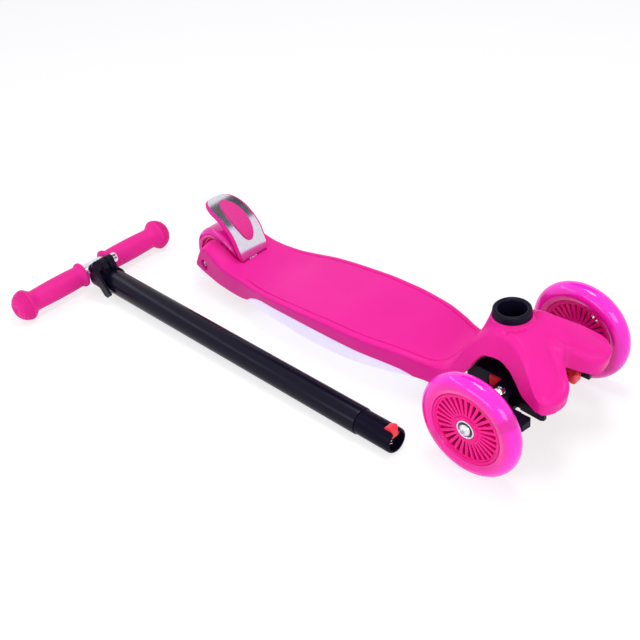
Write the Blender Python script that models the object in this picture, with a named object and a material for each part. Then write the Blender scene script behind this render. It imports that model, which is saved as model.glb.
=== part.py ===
"""A child's three-wheel kick scooter with lean steering, its T-bar taken out of the deck and lying beside it.

Everything is in metres. The deck is modelled in a frame of its own: +X forward, +Y to the rider's left,
+Z up, with its origin on the floor under the middle of the front axle. The T-bar is modelled in a second
frame: +X down the column, +Y along the handlebar, with its origin where the two meet.
"""

from math import asin, cos, pi, radians, sin, sqrt

import bmesh
import bpy
import numpy as np
from mathutils import Matrix, Vector

# Clearances
GAP = 0.0003            # between pieces that touch
TRIM = 0.002            # that a wall starts inside a cut, which then trims it flush
RUNNING_GAP = 0.0006    # between pieces that slide or turn past each other

# Front wheels
FRONT_RADIUS = 0.060
FRONT_WIDTH = 0.024
TRACK = 0.200
TYRE_BORE = 0.042
CORE_WIDTH = 0.020
CORE_HUB_RADIUS = 0.015
CORE_RIM = 0.0027
SPOKE_SLOTS = 30
SPOKE_THICKNESS = 0.0016

# Rear wheel
WHEELBASE = 0.479
REAR_RADIUS = 0.040
REAR_WIDTH = 0.038
REAR_TYRE_BORE = 0.029

# Bearings and axles
BEARING_RADIUS = 0.011
BEARING_WIDTH = 0.007
AXLE_RADIUS = 0.004
BOLT_HEAD_RADIUS = 0.0068
BOLT_HEAD_HEIGHT = 0.004
HEX_KEY = 0.0025
NUT_CORNER = 0.0066

# Deck shell
SHELL_WALL = 0.0035
FORK_INNER = 0.0225
CHEEK_WALL = 0.004
FORK_OUTER = 0.0425
WELL_FRONT = 0.058 - WHEELBASE
COUNTERBORE_RADIUS = 0.0074
COUNTERBORE_DEPTH = 0.0095
AXLE_BOSS_RADIUS = 0.0115

# Lean steering
COLUMN_X = -0.022
COLLAR_RADIUS = 0.0213
COLLAR_TOP = 0.1385
COLLAR_DRAFT = 0.0008
LEAN_HEIGHT = 0.112
LEAN_LIMIT = radians(8.3)
PLUG_RADIUS = 0.0148
SOCKET_BORE = 0.0151
SOCKET_RADIUS = 0.017
SOCKET_FLOOR = 0.084
SEAT_RADIUS = 0.0275
SEAT_BORE = 0.020
SEAT_OUTER = 0.0226
SEAT_FLARE = 0.006
SEAT_BOTTOM = LEAN_HEIGHT - 0.008
LEAN_PIN_RADIUS = 0.0025
FINGER_HEIGHT = 0.0475
FINGER_RADIUS = 0.004
SLOT_FRONT = COLUMN_X + 0.0095
SLOT_HALF = (LEAN_HEIGHT - FINGER_HEIGHT) * sin(LEAN_LIMIT) + 0.008

# Kingpins, knuckles and tie rod
KINGPIN_Y = 0.052
KINGPIN_RADIUS = 0.004
STEER_ARM = 0.030
EAR_BOTTOM = 0.044
EAR_THICKNESS = 0.005
EAR_TOP = 0.072
EAR_RADIUS = 0.010
SLEEVE_RADIUS = 0.0095
ROD_BOTTOM = 0.0435
ROD_THICKNESS = 0.008
ROD_EYE_RADIUS = 0.007
TIE_BOLT_RADIUS = 0.003
ARM_THICKNESS = 0.006
LIMB_BOTTOM = 0.0575
REAR_BEAM_BOTTOM = ROD_BOTTOM + ROD_THICKNESS + 0.002
REAR_BEAM_HALF = 0.032
BRIDGE_HALF = 0.034
BRIDGE_FRONT = 0.020
BRIDGE_REAR = -0.060
BRIDGE_STEP = -0.008
BRIDGE_BOLT_RADIUS = 0.0025
BOSS_RADIUS = 0.0052
BRIDGE_BOLTS = ((-0.052, 0.014), (0.008, 0.018))
NOSE_FRONT = 0.032
NOSE_HALF = 0.0255
NOSE_LOW = 0.050
NOSE_HIGH = 0.062
HORN_FRONT = 0.049
HORN_OUTER = 0.0455
HORN_THICKNESS = 0.0100
STOP_FRONT = 0.040
STOP_REAR = 0.023
STOP_OUTER = 0.0390
BUFFER_REAR = -0.025
BUFFER_FRONT = -0.008
BUFFER_OUTER = 0.0350
BUFFER_LOW = 0.0585
BUFFER_HIGH = 0.0700

# Brake
BRAKE_X = 0.052 - WHEELBASE
BRAKE_Z = 0.048
BRAKE_PIN_RADIUS = 0.0025
BRAKE_BARREL = 0.0044
BRAKE_HALF = 0.025
BRAKE_WALL = 0.003
PLATE_WALL = 0.0012
PLATE_INSET = 0.0028
PAD_WALL = 0.0025
BRAKE_COIL_TURNS = 4
BRAKE_COIL_RADIUS = 0.0046
BRAKE_COIL_WIRE = 0.0006

# Light panel under the deck
PANEL_REAR = 0.088 - WHEELBASE
PANEL_FRONT = -0.120
PANEL_WALL = 0.0025
PANEL_INSET = 0.0006
PANEL_GAP = 0.0009
PANEL_CORNER = 0.003
STRIP_LENGTH = 0.120
BATTERY = (0.058, 0.034, 0.014)

# T-bar
COLUMN_RADIUS = 0.0159
COLUMN_WALL = 0.0013
COLUMN_START = 0.0195
COLUMN_END = 0.497
PLUG_END = 0.547
PLUG_SPIGOT = 0.050
STEM_RADIUS = 0.0141
STEM_WALL = 0.0015
STEM_TOP = 0.0
STEM_END = 0.290
BAR_RADIUS = 0.011
BAR_WALL = 0.0015
GRIP_START = 0.018
GRIP_END = 0.124
GRIP_FLANGE = 0.017
GRIP_RADIUS = 0.0145
BELL_RADIUS = 0.021
CLAMP_START = 0.0185
CLAMP_END = 0.048
CLAMP_WALL = 0.0023
CLAMP_SLOT = 0.0024
EAR_HALF = 0.0095
SKEWER_X = 0.035
SKEWER_Z = 0.0245
SKEWER_RADIUS = 0.0025
CAM_RADIUS = 0.0068
CAM_HALF = 0.0075
CAM_PIN_RADIUS = 0.0016
EYE_RADIUS = 0.0031
LEVER_LENGTH = 0.043
LEVER_WALL = 0.0034
LEVER_DROP = radians(52.6)
NUT_RADIUS = 0.0065
NUT_LENGTH = 0.0075
CATCH_X = 0.5355
CATCH_HALF_LENGTH = 0.0095
CATCH_HEAD = 0.0110
CATCH_HALF_WIDTH = 0.0049
CATCH_PROUD = 0.0048
PLUG_BORE = 0.0115
CATCH_COIL_TURNS = 4
CATCH_COIL_RADIUS = 0.0040
CATCH_COIL_WIRE = 0.0005

# Where the T-bar lies on the floor
TBAR_X = -0.6231
TBAR_Y = -0.1193
TBAR_YAW = radians(-0.9)

ALONG_X = (0, pi / 2, 0)
ALONG_Y = (-pi / 2, 0, 0)
ROUND_STEPS = 24
SMALL_STEPS = 10
BOLT_STEPS = 8
MERGE = 1e-7

# The deck's outline in three lists of (place, value) points that a smooth curve joins. The fork's places
# are metres from the rear axle, the standing deck's are shares of the light panel's length, and the head's
# are metres from the front axle.
RIDGE_Y = (
    ((-0.019, 0.0385), (0.007, 0.0415), (0.039, 0.046), (0.059, 0.0472)),
    ((0.0037, 0.0505), (0.1144, 0.0559), (0.2251, 0.0597), (0.3727, 0.0618), (0.5203, 0.0626),
     (0.7048, 0.062), (0.8524, 0.0578), (1.000, 0.050)),
    ((-0.100, 0.0445), (-0.086, 0.040), (-0.066, 0.035), (-0.048, 0.030), (-0.034, 0.027),
     (-0.018, 0.0275), (0.006, 0.033), (0.019, 0.040), (0.037, 0.052), (0.050, 0.062), (0.062, 0.0645)),
)
RIDGE_Z = (
    ((-0.019, 0.037), (-0.010, 0.054), (-0.001, 0.063), (0.007, 0.067), (0.019, 0.062), (0.039, 0.054),
     (0.055, 0.0515)),
    ((0.0037, 0.0505), (0.1144, 0.052), (0.2251, 0.0555), (0.3358, 0.058), (0.4834, 0.0605),
     (0.5867, 0.062), (0.8967, 0.062), (1.000, 0.059)),
    ((-0.100, 0.0562), (-0.088, 0.0565), (-0.076, 0.062), (-0.066, 0.077), (-0.058, 0.092),
     (-0.048, 0.105), (-0.034, 0.118), (-0.018, 0.125), (-0.006, 0.1275), (0.006, 0.125), (0.019, 0.120),
     (0.037, 0.110), (0.050, 0.100), (0.062, 0.092)),
)
CENTRE_Z = (
    ((-0.019, 0.038), (-0.010, 0.060), (-0.001, 0.070), (0.007, 0.074), (0.017, 0.072), (0.031, 0.0655),
     (0.045, 0.057), (0.055, 0.0545), (0.079, 0.052)),
    ((0.0406, 0.0512), (0.1144, 0.052), (0.2251, 0.0555), (0.3358, 0.058), (0.4834, 0.0605),
     (0.5867, 0.062), (0.8967, 0.062), (1.000, 0.0592)),
    ((-0.100, 0.057), (-0.088, 0.058), (-0.076, 0.064), (-0.066, 0.080), (-0.058, 0.096), (-0.048, 0.108),
     (-0.036, 0.119), (-0.025, 0.126), (0.0, 0.1275), (0.019, 0.1225), (0.043, 0.116)),
)
EDGE_Y = (
    ((-0.019, 0.0385), (0.007, 0.0415), (0.039, 0.0445)),
    ((0.0037, 0.049), (0.2251, 0.0577), (0.5203, 0.0606), (0.7048, 0.060), (0.8524, 0.056), (1.000, 0.0485)),
    ((-0.100, 0.0455), (-0.075, 0.0465), (-0.047, 0.044), (-0.030, 0.040), (-0.010, 0.0405),
     (0.005, 0.0445), (0.018, 0.051), (0.033, 0.0595), (0.050, 0.0625)),
)
EDGE_Z = (
    ((-0.019, 0.032), (-0.010, 0.029), (0.009, 0.0255), (0.029, 0.022), (0.059, 0.021), (0.086, 0.0235)),
    ((0.0185, 0.029), (0.0627, 0.0345), (0.1181, 0.039), (0.203, 0.041), (0.4059, 0.042), (0.6458, 0.0405),
     (0.8561, 0.039), (0.9483, 0.036)),
    ((-0.119, 0.0315), (-0.101, 0.031), (-0.090, 0.0335), (-0.075, 0.0445), (-0.060, 0.060), (-0.047, 0.075),
     (-0.038, 0.0885), (-0.030, 0.097), (-0.010, 0.101), (0.005, 0.098), (0.018, 0.0925), (0.033, 0.086),
     (0.050, 0.0775)),
)
BOTTOM_Z = (
    (),
    ((0.0, 0.0225), (0.2546, 0.022), (0.3875, 0.020), (0.5129, 0.0195), (0.631, 0.020), (0.7454, 0.0227),
     (0.941, 0.0275), (1.0037, 0.0295)),
    (),
)

# The head's front edge and the lower edge of its front wall: (y, value) points
NOTCH = ((0.0, 0.0), (0.005, 0.001), (0.009, 0.003), (0.013, 0.007), (0.017, 0.012), (0.021, 0.017),
         (0.025, 0.0215), (0.030, 0.0245), (0.038, 0.026), (0.046, 0.0255), (0.053, 0.0225), (0.0597, 0.0170),
         (0.0647, 0.0155))
FRONT_Z = ((0.0, 0.116), (0.005, 0.115), (0.011, 0.110), (0.017, 0.105), (0.021, 0.100), (0.025, 0.0965),
           (0.030, 0.094), (0.038, 0.092), (0.046, 0.0915), (0.053, 0.092), (0.066, 0.092))
FRONT_BOTTOM = ((0.0, 0.091), (0.010, 0.086), (0.021, 0.079), (0.030, 0.0745), (0.038, 0.0735), (0.045, 0.0735),
                (0.055, 0.0745), (0.066, 0.078))
WALL_TUCK = 0.004
NOTCH_CENTRE = 0.043

REAR_STATIONS = (-0.019, -0.016, -0.009, -0.001, 0.008, 0.019, 0.033, 0.049, 0.069)
PANEL_SHARES = (0, 0.018, 0.062, 0.118, 0.203, 0.317, 0.446, 0.587, 0.742, 0.897, 1)
NECK_STATIONS = (-0.104, -0.090, -0.080, -0.071, -0.063, -0.055, -0.046, -0.037, -0.028, -0.018, -0.008, 0.006)
HEAD_STEPS = 5
TOP_SHARES = (0, 0.20, 0.40, 0.66, 0.88, 1)
CORNER_STEPS = 2
WALL_STEPS = 1
CORNER = 0.005

# The brake's side view: (x, z) points from its foot to its tip, measured from its hinge
BRAKE_SIDE = ((0.0005, 0.007), (0.0, 0.017), (-0.004, 0.027), (-0.008, 0.037), (-0.016, 0.047),
              (-0.028, 0.056), (-0.042, 0.062), (-0.055, 0.0655), (-0.065, 0.0655))
BRAKE_TIP_FROM = 0.60
BRAKE_STEPS = 1

CHEEK_OUTLINE = ((-0.013, 0.032), (-0.010, 0.0305), (0.009, 0.027), (0.029, 0.0235), (0.066, 0.0225),
                 (0.066, 0.0495), (0.055, 0.0515), (0.043, 0.0555), (0.031, 0.0625), (0.017, 0.069),
                 (0.006, 0.071), (-0.004, 0.065), (-0.011, 0.055))

MATERIALS = {
    "pink_plastic": ((0.82, 0.020, 0.30), 0.42, 0.0),
    "pink_rubber": ((0.80, 0.018, 0.28), 0.60, 0.0),
    "magenta_tyre": ((0.95, 0.02, 0.60), 0.18, 0.0),
    "pink_core": ((0.90, 0.015, 0.38), 0.25, 0.0),
    "black_plastic": ((0.010, 0.008, 0.014), 0.45, 0.0),
    "black_paint": ((0.012, 0.010, 0.020), 0.25, 0.3),
    "red_plastic": ((0.85, 0.02, 0.05), 0.35, 0.0),
    "lavender_plastic": ((0.68, 0.63, 0.95), 0.30, 0.0),
    "bright_steel": ((0.70, 0.70, 0.74), 0.25, 1.0),
    "aluminium": ((0.78, 0.78, 0.84), 0.35, 1.0),
}


def clear_scene():
    for obj in list(bpy.data.objects):
        bpy.data.objects.remove(obj, do_unlink=True)


def make_materials():
    for name, (colour, roughness, metallic) in MATERIALS.items():
        material = bpy.data.materials.new(name)
        material.use_nodes = True
        shader = material.node_tree.nodes["Principled BSDF"]
        shader.inputs["Base Color"].default_value = (*colour, 1)
        shader.inputs["Roughness"].default_value = roughness
        shader.inputs["Metallic"].default_value = metallic


def empty(name, parent=None, location=(0, 0, 0), rotation=(0, 0, 0)):
    obj = bpy.data.objects.new(name, None)
    bpy.context.collection.objects.link(obj)
    obj.parent = parent
    obj.location = location
    obj.rotation_euler = rotation
    obj.empty_display_size = 0.03
    return obj


def add(name, mesh_data, material, parent, location=(0, 0, 0), rotation=(0, 0, 0)):
    """Turns a bmesh into a closed, smooth-shaded object with its normals facing out."""
    bmesh.ops.remove_doubles(mesh_data, verts=mesh_data.verts, dist=MERGE)
    bmesh.ops.recalc_face_normals(mesh_data, faces=mesh_data.faces)
    mesh = bpy.data.meshes.new(name)
    mesh_data.to_mesh(mesh)
    mesh_data.free()
    mesh.shade_smooth()
    mesh.set_sharp_from_angle(angle=radians(35))
    obj = bpy.data.objects.new(name, mesh)
    bpy.context.collection.objects.link(obj)
    if material:
        mesh.materials.append(bpy.data.materials[material])
    obj.parent = parent
    obj.location = location
    obj.rotation_euler = rotation
    return obj


def turned(name, profile, material, parent, location=(0, 0, 0), rotation=(0, 0, 0), steps=ROUND_STEPS):
    """A solid of revolution about local Z from (radius, height) points: an open line whose ends are on
    the axis, or else a closed ring."""
    shape = bmesh.new()
    verts = [shape.verts.new((radius, 0, height)) for radius, height in profile]
    edges = [shape.edges.new(pair) for pair in zip(verts, verts[1:])]
    if profile[0][0] > 0:
        edges.append(shape.edges.new((verts[-1], verts[0])))
    bmesh.ops.spin(shape, geom=verts + edges, cent=(0, 0, 0), axis=(0, 0, 1), angle=2 * pi, steps=steps,
                   use_merge=True)
    bmesh.ops.remove_doubles(shape, verts=shape.verts, dist=MERGE)
    return add(name, shape, material, parent, location, rotation)


def rod(name, radius, start, end, material, parent, location=(0, 0, 0), rotation=(0, 0, 0),
        steps=ROUND_STEPS):
    profile = ((0, start), (radius, start), (radius, end), (0, end))
    return turned(name, profile, material, parent, location, rotation, steps)


def ring(name, inner, outer, start, end, material, parent, location=(0, 0, 0), rotation=(0, 0, 0),
         steps=ROUND_STEPS):
    profile = ((inner, start), (outer, start), (outer, end), (inner, end))
    return turned(name, profile, material, parent, location, rotation, steps)


def plate(name, outline, low, high, material, parent, location=(0, 0, 0), rotation=(0, 0, 0)):
    """An outline in the local XY plane, extruded along Z."""
    shape = bmesh.new()
    face = shape.faces.new([shape.verts.new((x, y, low)) for x, y in outline])
    top = bmesh.ops.extrude_face_region(shape, geom=[face])["geom"]
    bmesh.ops.translate(shape, verts=[v for v in top if isinstance(v, bmesh.types.BMVert)],
                        vec=(0, 0, high - low))
    return add(name, shape, material, parent, location, rotation)


def block(name, low, high, material, parent, location=(0, 0, 0), rotation=(0, 0, 0)):
    outline = ((low[0], low[1]), (high[0], low[1]), (high[0], high[1]), (low[0], high[1]))
    return plate(name, outline, low[2], high[2], material, parent, location, rotation)


def boolean(obj, operation, *others):
    """Cuts or joins helper solids, which are then left out of the render."""
    for other in others:
        modifier = obj.modifiers.new(f"{operation.lower()}_{other.name}", "BOOLEAN")
        modifier.operation = operation
        modifier.solver = "EXACT"
        modifier.object = other
        other.hide_render = True
        other.display_type = "WIRE"
    return obj


def cut(obj, *others):
    return boolean(obj, "DIFFERENCE", *others)


def join(obj, *others):
    return boolean(obj, "UNION", *others)


def round_end(centre, radius, start, end, steps=5):
    """Points on an arc from one angle to another, both in radians."""
    angles = np.linspace(start, end, steps + 1)
    return [(centre[0] + radius * cos(a), centre[1] + radius * sin(a)) for a in angles]


def curve_through(points):
    """A smooth function through (x, value) points that doesn't overshoot them."""
    xs, ys = (np.array(column, float) for column in zip(*points))
    widths = np.diff(xs)
    secants = np.diff(ys) / widths
    slopes = np.concatenate([[secants[0]], np.zeros(len(xs) - 2), [secants[-1]]])
    for i in range(1, len(xs) - 1):
        before, after = secants[i - 1], secants[i]
        if before * after > 0:
            share = (widths[i - 1] + 2 * widths[i]) / (3 * (widths[i - 1] + widths[i]))
            slopes[i] = before * after / (share * after + (1 - share) * before)

    def at(x):
        x = min(max(x, xs[0]), xs[-1])
        i = min(int(np.searchsorted(xs, x, side="right")) - 1, len(xs) - 2)
        width = widths[i]
        t = (x - xs[i]) / width
        return float(
            ys[i] * (1 + 2 * t) * (1 - t) ** 2 + slopes[i] * width * t * (1 - t) ** 2
            + ys[i + 1] * t * t * (3 - 2 * t) - slopes[i + 1] * width * t * t * (1 - t)
        )

    return at


def from_rear_axle(x):
    return x - WHEELBASE


def along_panel(share):
    return PANEL_REAR + (PANEL_FRONT - PANEL_REAR) * share


def deck_curve(lists):
    """A smooth function of x through the fork's, the standing deck's and the head's points."""
    fork, deck, head = lists
    points = [(from_rear_axle(x), value) for x, value in fork]
    points += [(along_panel(share), value) for share, value in deck]
    return curve_through(points + list(head))


PANEL_STATIONS = tuple(along_panel(share) for share in PANEL_SHARES)
DECK_STATIONS = tuple(from_rear_axle(x) for x in REAR_STATIONS) + PANEL_STATIONS + NECK_STATIONS
ridge_y, ridge_z = deck_curve(RIDGE_Y), deck_curve(RIDGE_Z)
centre_z, edge_y, edge_z = deck_curve(CENTRE_Z), deck_curve(EDGE_Y), deck_curve(EDGE_Z)
bottom_z = deck_curve(BOTTOM_Z)
notch, front_z, front_bottom = curve_through(NOTCH), curve_through(FRONT_Z), curve_through(FRONT_BOTTOM)


def top_z(x, y):
    """Height of the deck's top behind the head's notch."""
    middle = centre_z(x)
    return middle + (ridge_z(x) - middle) * (y / ridge_y(x)) ** 2


def half_section(x, notched=0.0):
    """Points from the middle of the top, over the ridge, to the lower edge of the side wall at station x.
    Towards the front the station bends forward over the lobes, by the share given."""
    reach = max(ridge_y(x), 1e-6)
    for _ in range(12):
        reach = ridge_y(x + notched * notch(reach))
    ridge_x = x + notched * notch(reach)
    ridge = Vector((ridge_x, reach, ridge_z(ridge_x)))
    edge_x = min(ridge_x, x + notched * notch(edge_y(ridge_x)))
    edge = Vector((edge_x, edge_y(edge_x), edge_z(edge_x)))
    wall = edge - ridge
    inner = reach - CORNER
    points = []
    for share in TOP_SHARES:
        y = inner * share
        plain = centre_z(x) + (ridge.z - centre_z(x)) * (y / reach) ** 2
        height = plain + notched ** 2 * (front_z(y) - plain)
        points.append(Vector((x + notched * notch(y), y, height)))
    start = points[-1]
    finish = ridge + wall.normalized() * min(CORNER, 0.3 * wall.length)
    for step in range(1, CORNER_STEPS + 1):
        t = step / CORNER_STEPS
        points.append((1 - t) ** 2 * start + 2 * t * (1 - t) * ridge + t * t * finish)
    for step in range(1, WALL_STEPS + 1):
        points.append(finish + (edge - finish) * step / WALL_STEPS)
    return points


def front_column(top, outward):
    """Points down the head's front wall below a point of its top, as many as a side wall has below the top."""
    crest = top + outward * CORNER
    crest.z = top.z - 0.12 * CORNER
    low = Vector((crest.x - WALL_TUCK * min(1.0, top.y / 0.045), crest.y, front_bottom(top.y)))
    wall = low - crest
    finish = crest + wall.normalized() * min(CORNER, 0.4 * wall.length)
    points = []
    for step in range(1, CORNER_STEPS + 1):
        t = step / CORNER_STEPS
        points.append((1 - t) ** 2 * top + 2 * t * (1 - t) * crest + t * t * finish)
    for step in range(1, WALL_STEPS + 1):
        points.append(finish + (low - finish) * step / WALL_STEPS)
    return points


def front_wall(front):
    """Rows down the head's front wall. Each ends on the front edge of the side wall."""
    tops = front[:len(TOP_SHARES)]
    columns = []
    for i, point in enumerate(tops[:-1]):
        run = tops[i + 1] - tops[max(i - 1, 0)]
        outward = Vector((run.y, -run.x, 0)).normalized() if i else Vector((1, 0, 0))
        columns.append(front_column(point, outward))
    columns.append(front[len(TOP_SHARES):])
    return [list(row) for row in zip(*columns)]


def skin_rows():
    rows = [half_section(x) for x in DECK_STATIONS]
    for step in range(1, HEAD_STEPS + 1):
        t = step / HEAD_STEPS
        x = DECK_STATIONS[-1] + (NOTCH_CENTRE - CORNER - DECK_STATIONS[-1]) * t
        rows.append(half_section(x, t * t * (3 - 2 * t)))
    return rows


def strip_mesh(rows, front=()):
    """A grid of faces over half sections, mirrored across the middle, and the front wall's below its first
    columns. Doubled points along their seam are merged later."""
    shape = bmesh.new()
    grid = []
    for row in rows:
        left = [shape.verts.new(point) for point in row]
        right = [shape.verts.new((point.x, -point.y, point.z)) for point in row[1:]]
        grid.append(right[::-1] + left)
    if front:
        first = rows[-1][:len(front[0])]
        wall = []
        for row in [first, *front]:
            left = [shape.verts.new(point) for point in row]
            right = [shape.verts.new((point.x, -point.y, point.z)) for point in row[1:]]
            wall.append(right[::-1] + left)
        for back, low in zip(wall, wall[1:]):
            for i in range(len(back) - 1):
                shape.faces.new((back[i], back[i + 1], low[i + 1], low[i]))
    for back, front in zip(grid, grid[1:]):
        for i in range(len(back) - 1):
            shape.faces.new((back[i], back[i + 1], front[i + 1], front[i]))
    return shape


def face_towards(obj, direction):
    """Turns an open sheet's faces over where most of them point away from a direction."""
    total = sum((face.normal * face.area for face in obj.data.polygons), Vector())
    if total.dot(Vector(direction)) < 0:
        obj.data.flip_normals()


def solidify(obj, thickness, offset):
    modifier = obj.modifiers.new("wall", "SOLIDIFY")
    modifier.thickness = thickness
    modifier.offset = offset
    modifier.use_quality_normals = True


def deck_body(frame):
    """The moulded shell: standing deck, rear fork and the head over the front wheels' bridge."""
    rows = skin_rows()
    body = add("deck_body", strip_mesh(rows, front_wall(rows[-1])), "pink_plastic", frame)
    solidify(body, SHELL_WALL, -1)

    socket_hole = rod("socket_cutter", SEAT_BORE + 0.001, 0.09, 0.15, None, frame, (COLUMN_X, 0, 0))
    cut(body, socket_hole)

    helpers = [collar_seat(frame)]
    for side in (1, -1):
        low, high = sorted((side * (FORK_INNER - TRIM), side * (FORK_INNER + CHEEK_WALL)))
        cheek = plate(f"cheek_{side}", CHEEK_OUTLINE, -high, -low, None, frame, (-WHEELBASE, 0, 0),
                      (pi / 2, 0, 0))
        boss = rod(f"axle_boss_{side}", AXLE_BOSS_RADIUS, FORK_INNER - 0.5 * TRIM, FORK_OUTER - 0.0025, None,
                   frame, (-WHEELBASE, 0, REAR_RADIUS), (-side * pi / 2, 0, 0), SMALL_STEPS)
        helpers += [cheek, boss]
        for number, (x, y) in enumerate(BRIDGE_BOLTS):
            reach = (-BOSS_RADIUS, BOSS_RADIUS)
            top = min(top_z(x + dx, y + dy) for dx in reach for dy in reach)
            helpers.append(rod(f"bridge_boss_{side}_{number}", BOSS_RADIUS, EAR_TOP + GAP,
                               top - 0.3 * SHELL_WALL, None, frame, (x, side * y, 0), steps=BOLT_STEPS))
    helpers.append(block("well_wall", (WELL_FRONT - TRIM, -FORK_INNER - 0.002, 0.0235),
                         (WELL_FRONT + 0.003, FORK_INNER + 0.002, centre_z(WELL_FRONT) - 0.001), None, frame))
    join(body, *helpers)
    well = block("well_cutter", (-WHEELBASE - REAR_RADIUS, -FORK_INNER, 0.0), (WELL_FRONT, FORK_INNER, 0.09),
                 None, frame)
    cut(body, well)

    axle = rod("rear_bore_cutter", AXLE_RADIUS + GAP, -0.06, 0.06, None, frame,
               (-WHEELBASE, 0, REAR_RADIUS), ALONG_Y, SMALL_STEPS)
    brake_pin = rod("brake_bore_cutter", BRAKE_PIN_RADIUS + GAP, -FORK_INNER - CHEEK_WALL - 0.001,
                    FORK_INNER + CHEEK_WALL + 0.001, None, frame, (BRAKE_X, 0, BRAKE_Z), ALONG_Y, SMALL_STEPS)
    lean_pins = rod("lean_bore_cutter", LEAN_PIN_RADIUS + GAP, -0.0236, 0.0236, None, frame,
                    (COLUMN_X, 0, LEAN_HEIGHT), ALONG_X, SMALL_STEPS)
    cut(body, axle, brake_pin, lean_pins)
    for side in (1, -1):
        recess = rod(f"recess_cutter_{side}", COUNTERBORE_RADIUS, FORK_OUTER - COUNTERBORE_DEPTH, 0.06,
                     None, frame, (-WHEELBASE, 0, REAR_RADIUS), (-side * pi / 2, 0, 0), 16)
        cut(body, recess)
        for number, (x, y) in enumerate(BRIDGE_BOLTS):
            hole = rod(f"bolt_cutter_{side}_{number}", BRIDGE_BOLT_RADIUS + GAP, EAR_TOP - 0.001,
                       EAR_TOP + 0.0135, None, frame, (x, side * y, 0), steps=BOLT_STEPS)
            cut(body, hole)
    return body


def collar_seat(frame):
    """The round seat under the collar, a band of a sphere about the lean axis."""
    start = asin(SEAT_BORE / SEAT_RADIUS)
    end = asin(SEAT_OUTER / SEAT_RADIUS)
    dome = [(SEAT_RADIUS * sin(a), LEAN_HEIGHT + SEAT_RADIUS * cos(a)) for a in np.linspace(start, end, 3)]
    rim = dome[-1][1]
    profile = [(SEAT_BORE, SEAT_BOTTOM), *dome, (SEAT_OUTER + 0.0006, rim - 0.0025),
               (SEAT_OUTER + SEAT_FLARE, SEAT_BOTTOM)]
    return turned("collar_seat", profile, None, frame, (COLUMN_X, 0, 0))


def light_panel(frame):
    """The translucent tray that closes the deck's underside and carries the lights."""
    rows = []
    for x in PANEL_STATIONS:
        top = Vector((x, edge_y(x) - PANEL_INSET, edge_z(x) - PANEL_GAP))
        low = Vector((x, top.y, min(bottom_z(x) + PANEL_CORNER, top.z - 0.0006)))
        corner = Vector((x, top.y - PANEL_CORNER, bottom_z(x)))
        rows.append([Vector((x, 0, bottom_z(x))), Vector((x, 0.5 * corner.y, bottom_z(x))), corner, low, top])
    panel = add("light_panel", strip_mesh(rows), "lavender_plastic", frame)
    face_towards(panel, (0, 0, -1))
    solidify(panel, PANEL_WALL, -1)
    return panel


def strip_light(frame, side):
    middle = 0.5 * (PANEL_REAR + PANEL_FRONT)
    outer = min(edge_y(middle - 0.5 * STRIP_LENGTH), edge_y(middle + 0.5 * STRIP_LENGTH))
    outer -= PANEL_INSET + PANEL_WALL + 2 * GAP
    name = "led_strip_left" if side > 0 else "led_strip_right"
    low, high = sorted((side * outer, side * (outer - 0.0014)))
    base = bottom_z(middle) + PANEL_WALL + 0.0035
    return block(name, (middle - 0.5 * STRIP_LENGTH, low, base), (middle + 0.5 * STRIP_LENGTH, high, base + 0.007),
                 "aluminium", frame)


def battery_box(frame):
    length, width, height = BATTERY
    x = 0.5 * (PANEL_REAR + PANEL_FRONT)
    base = max(bottom_z(x - 0.5 * length), bottom_z(x + 0.5 * length)) + PANEL_WALL + 2 * GAP
    return block("battery_box", (x - 0.5 * length, -0.5 * width, base),
                 (x + 0.5 * length, 0.5 * width, base + height), "black_plastic", frame)


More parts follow.
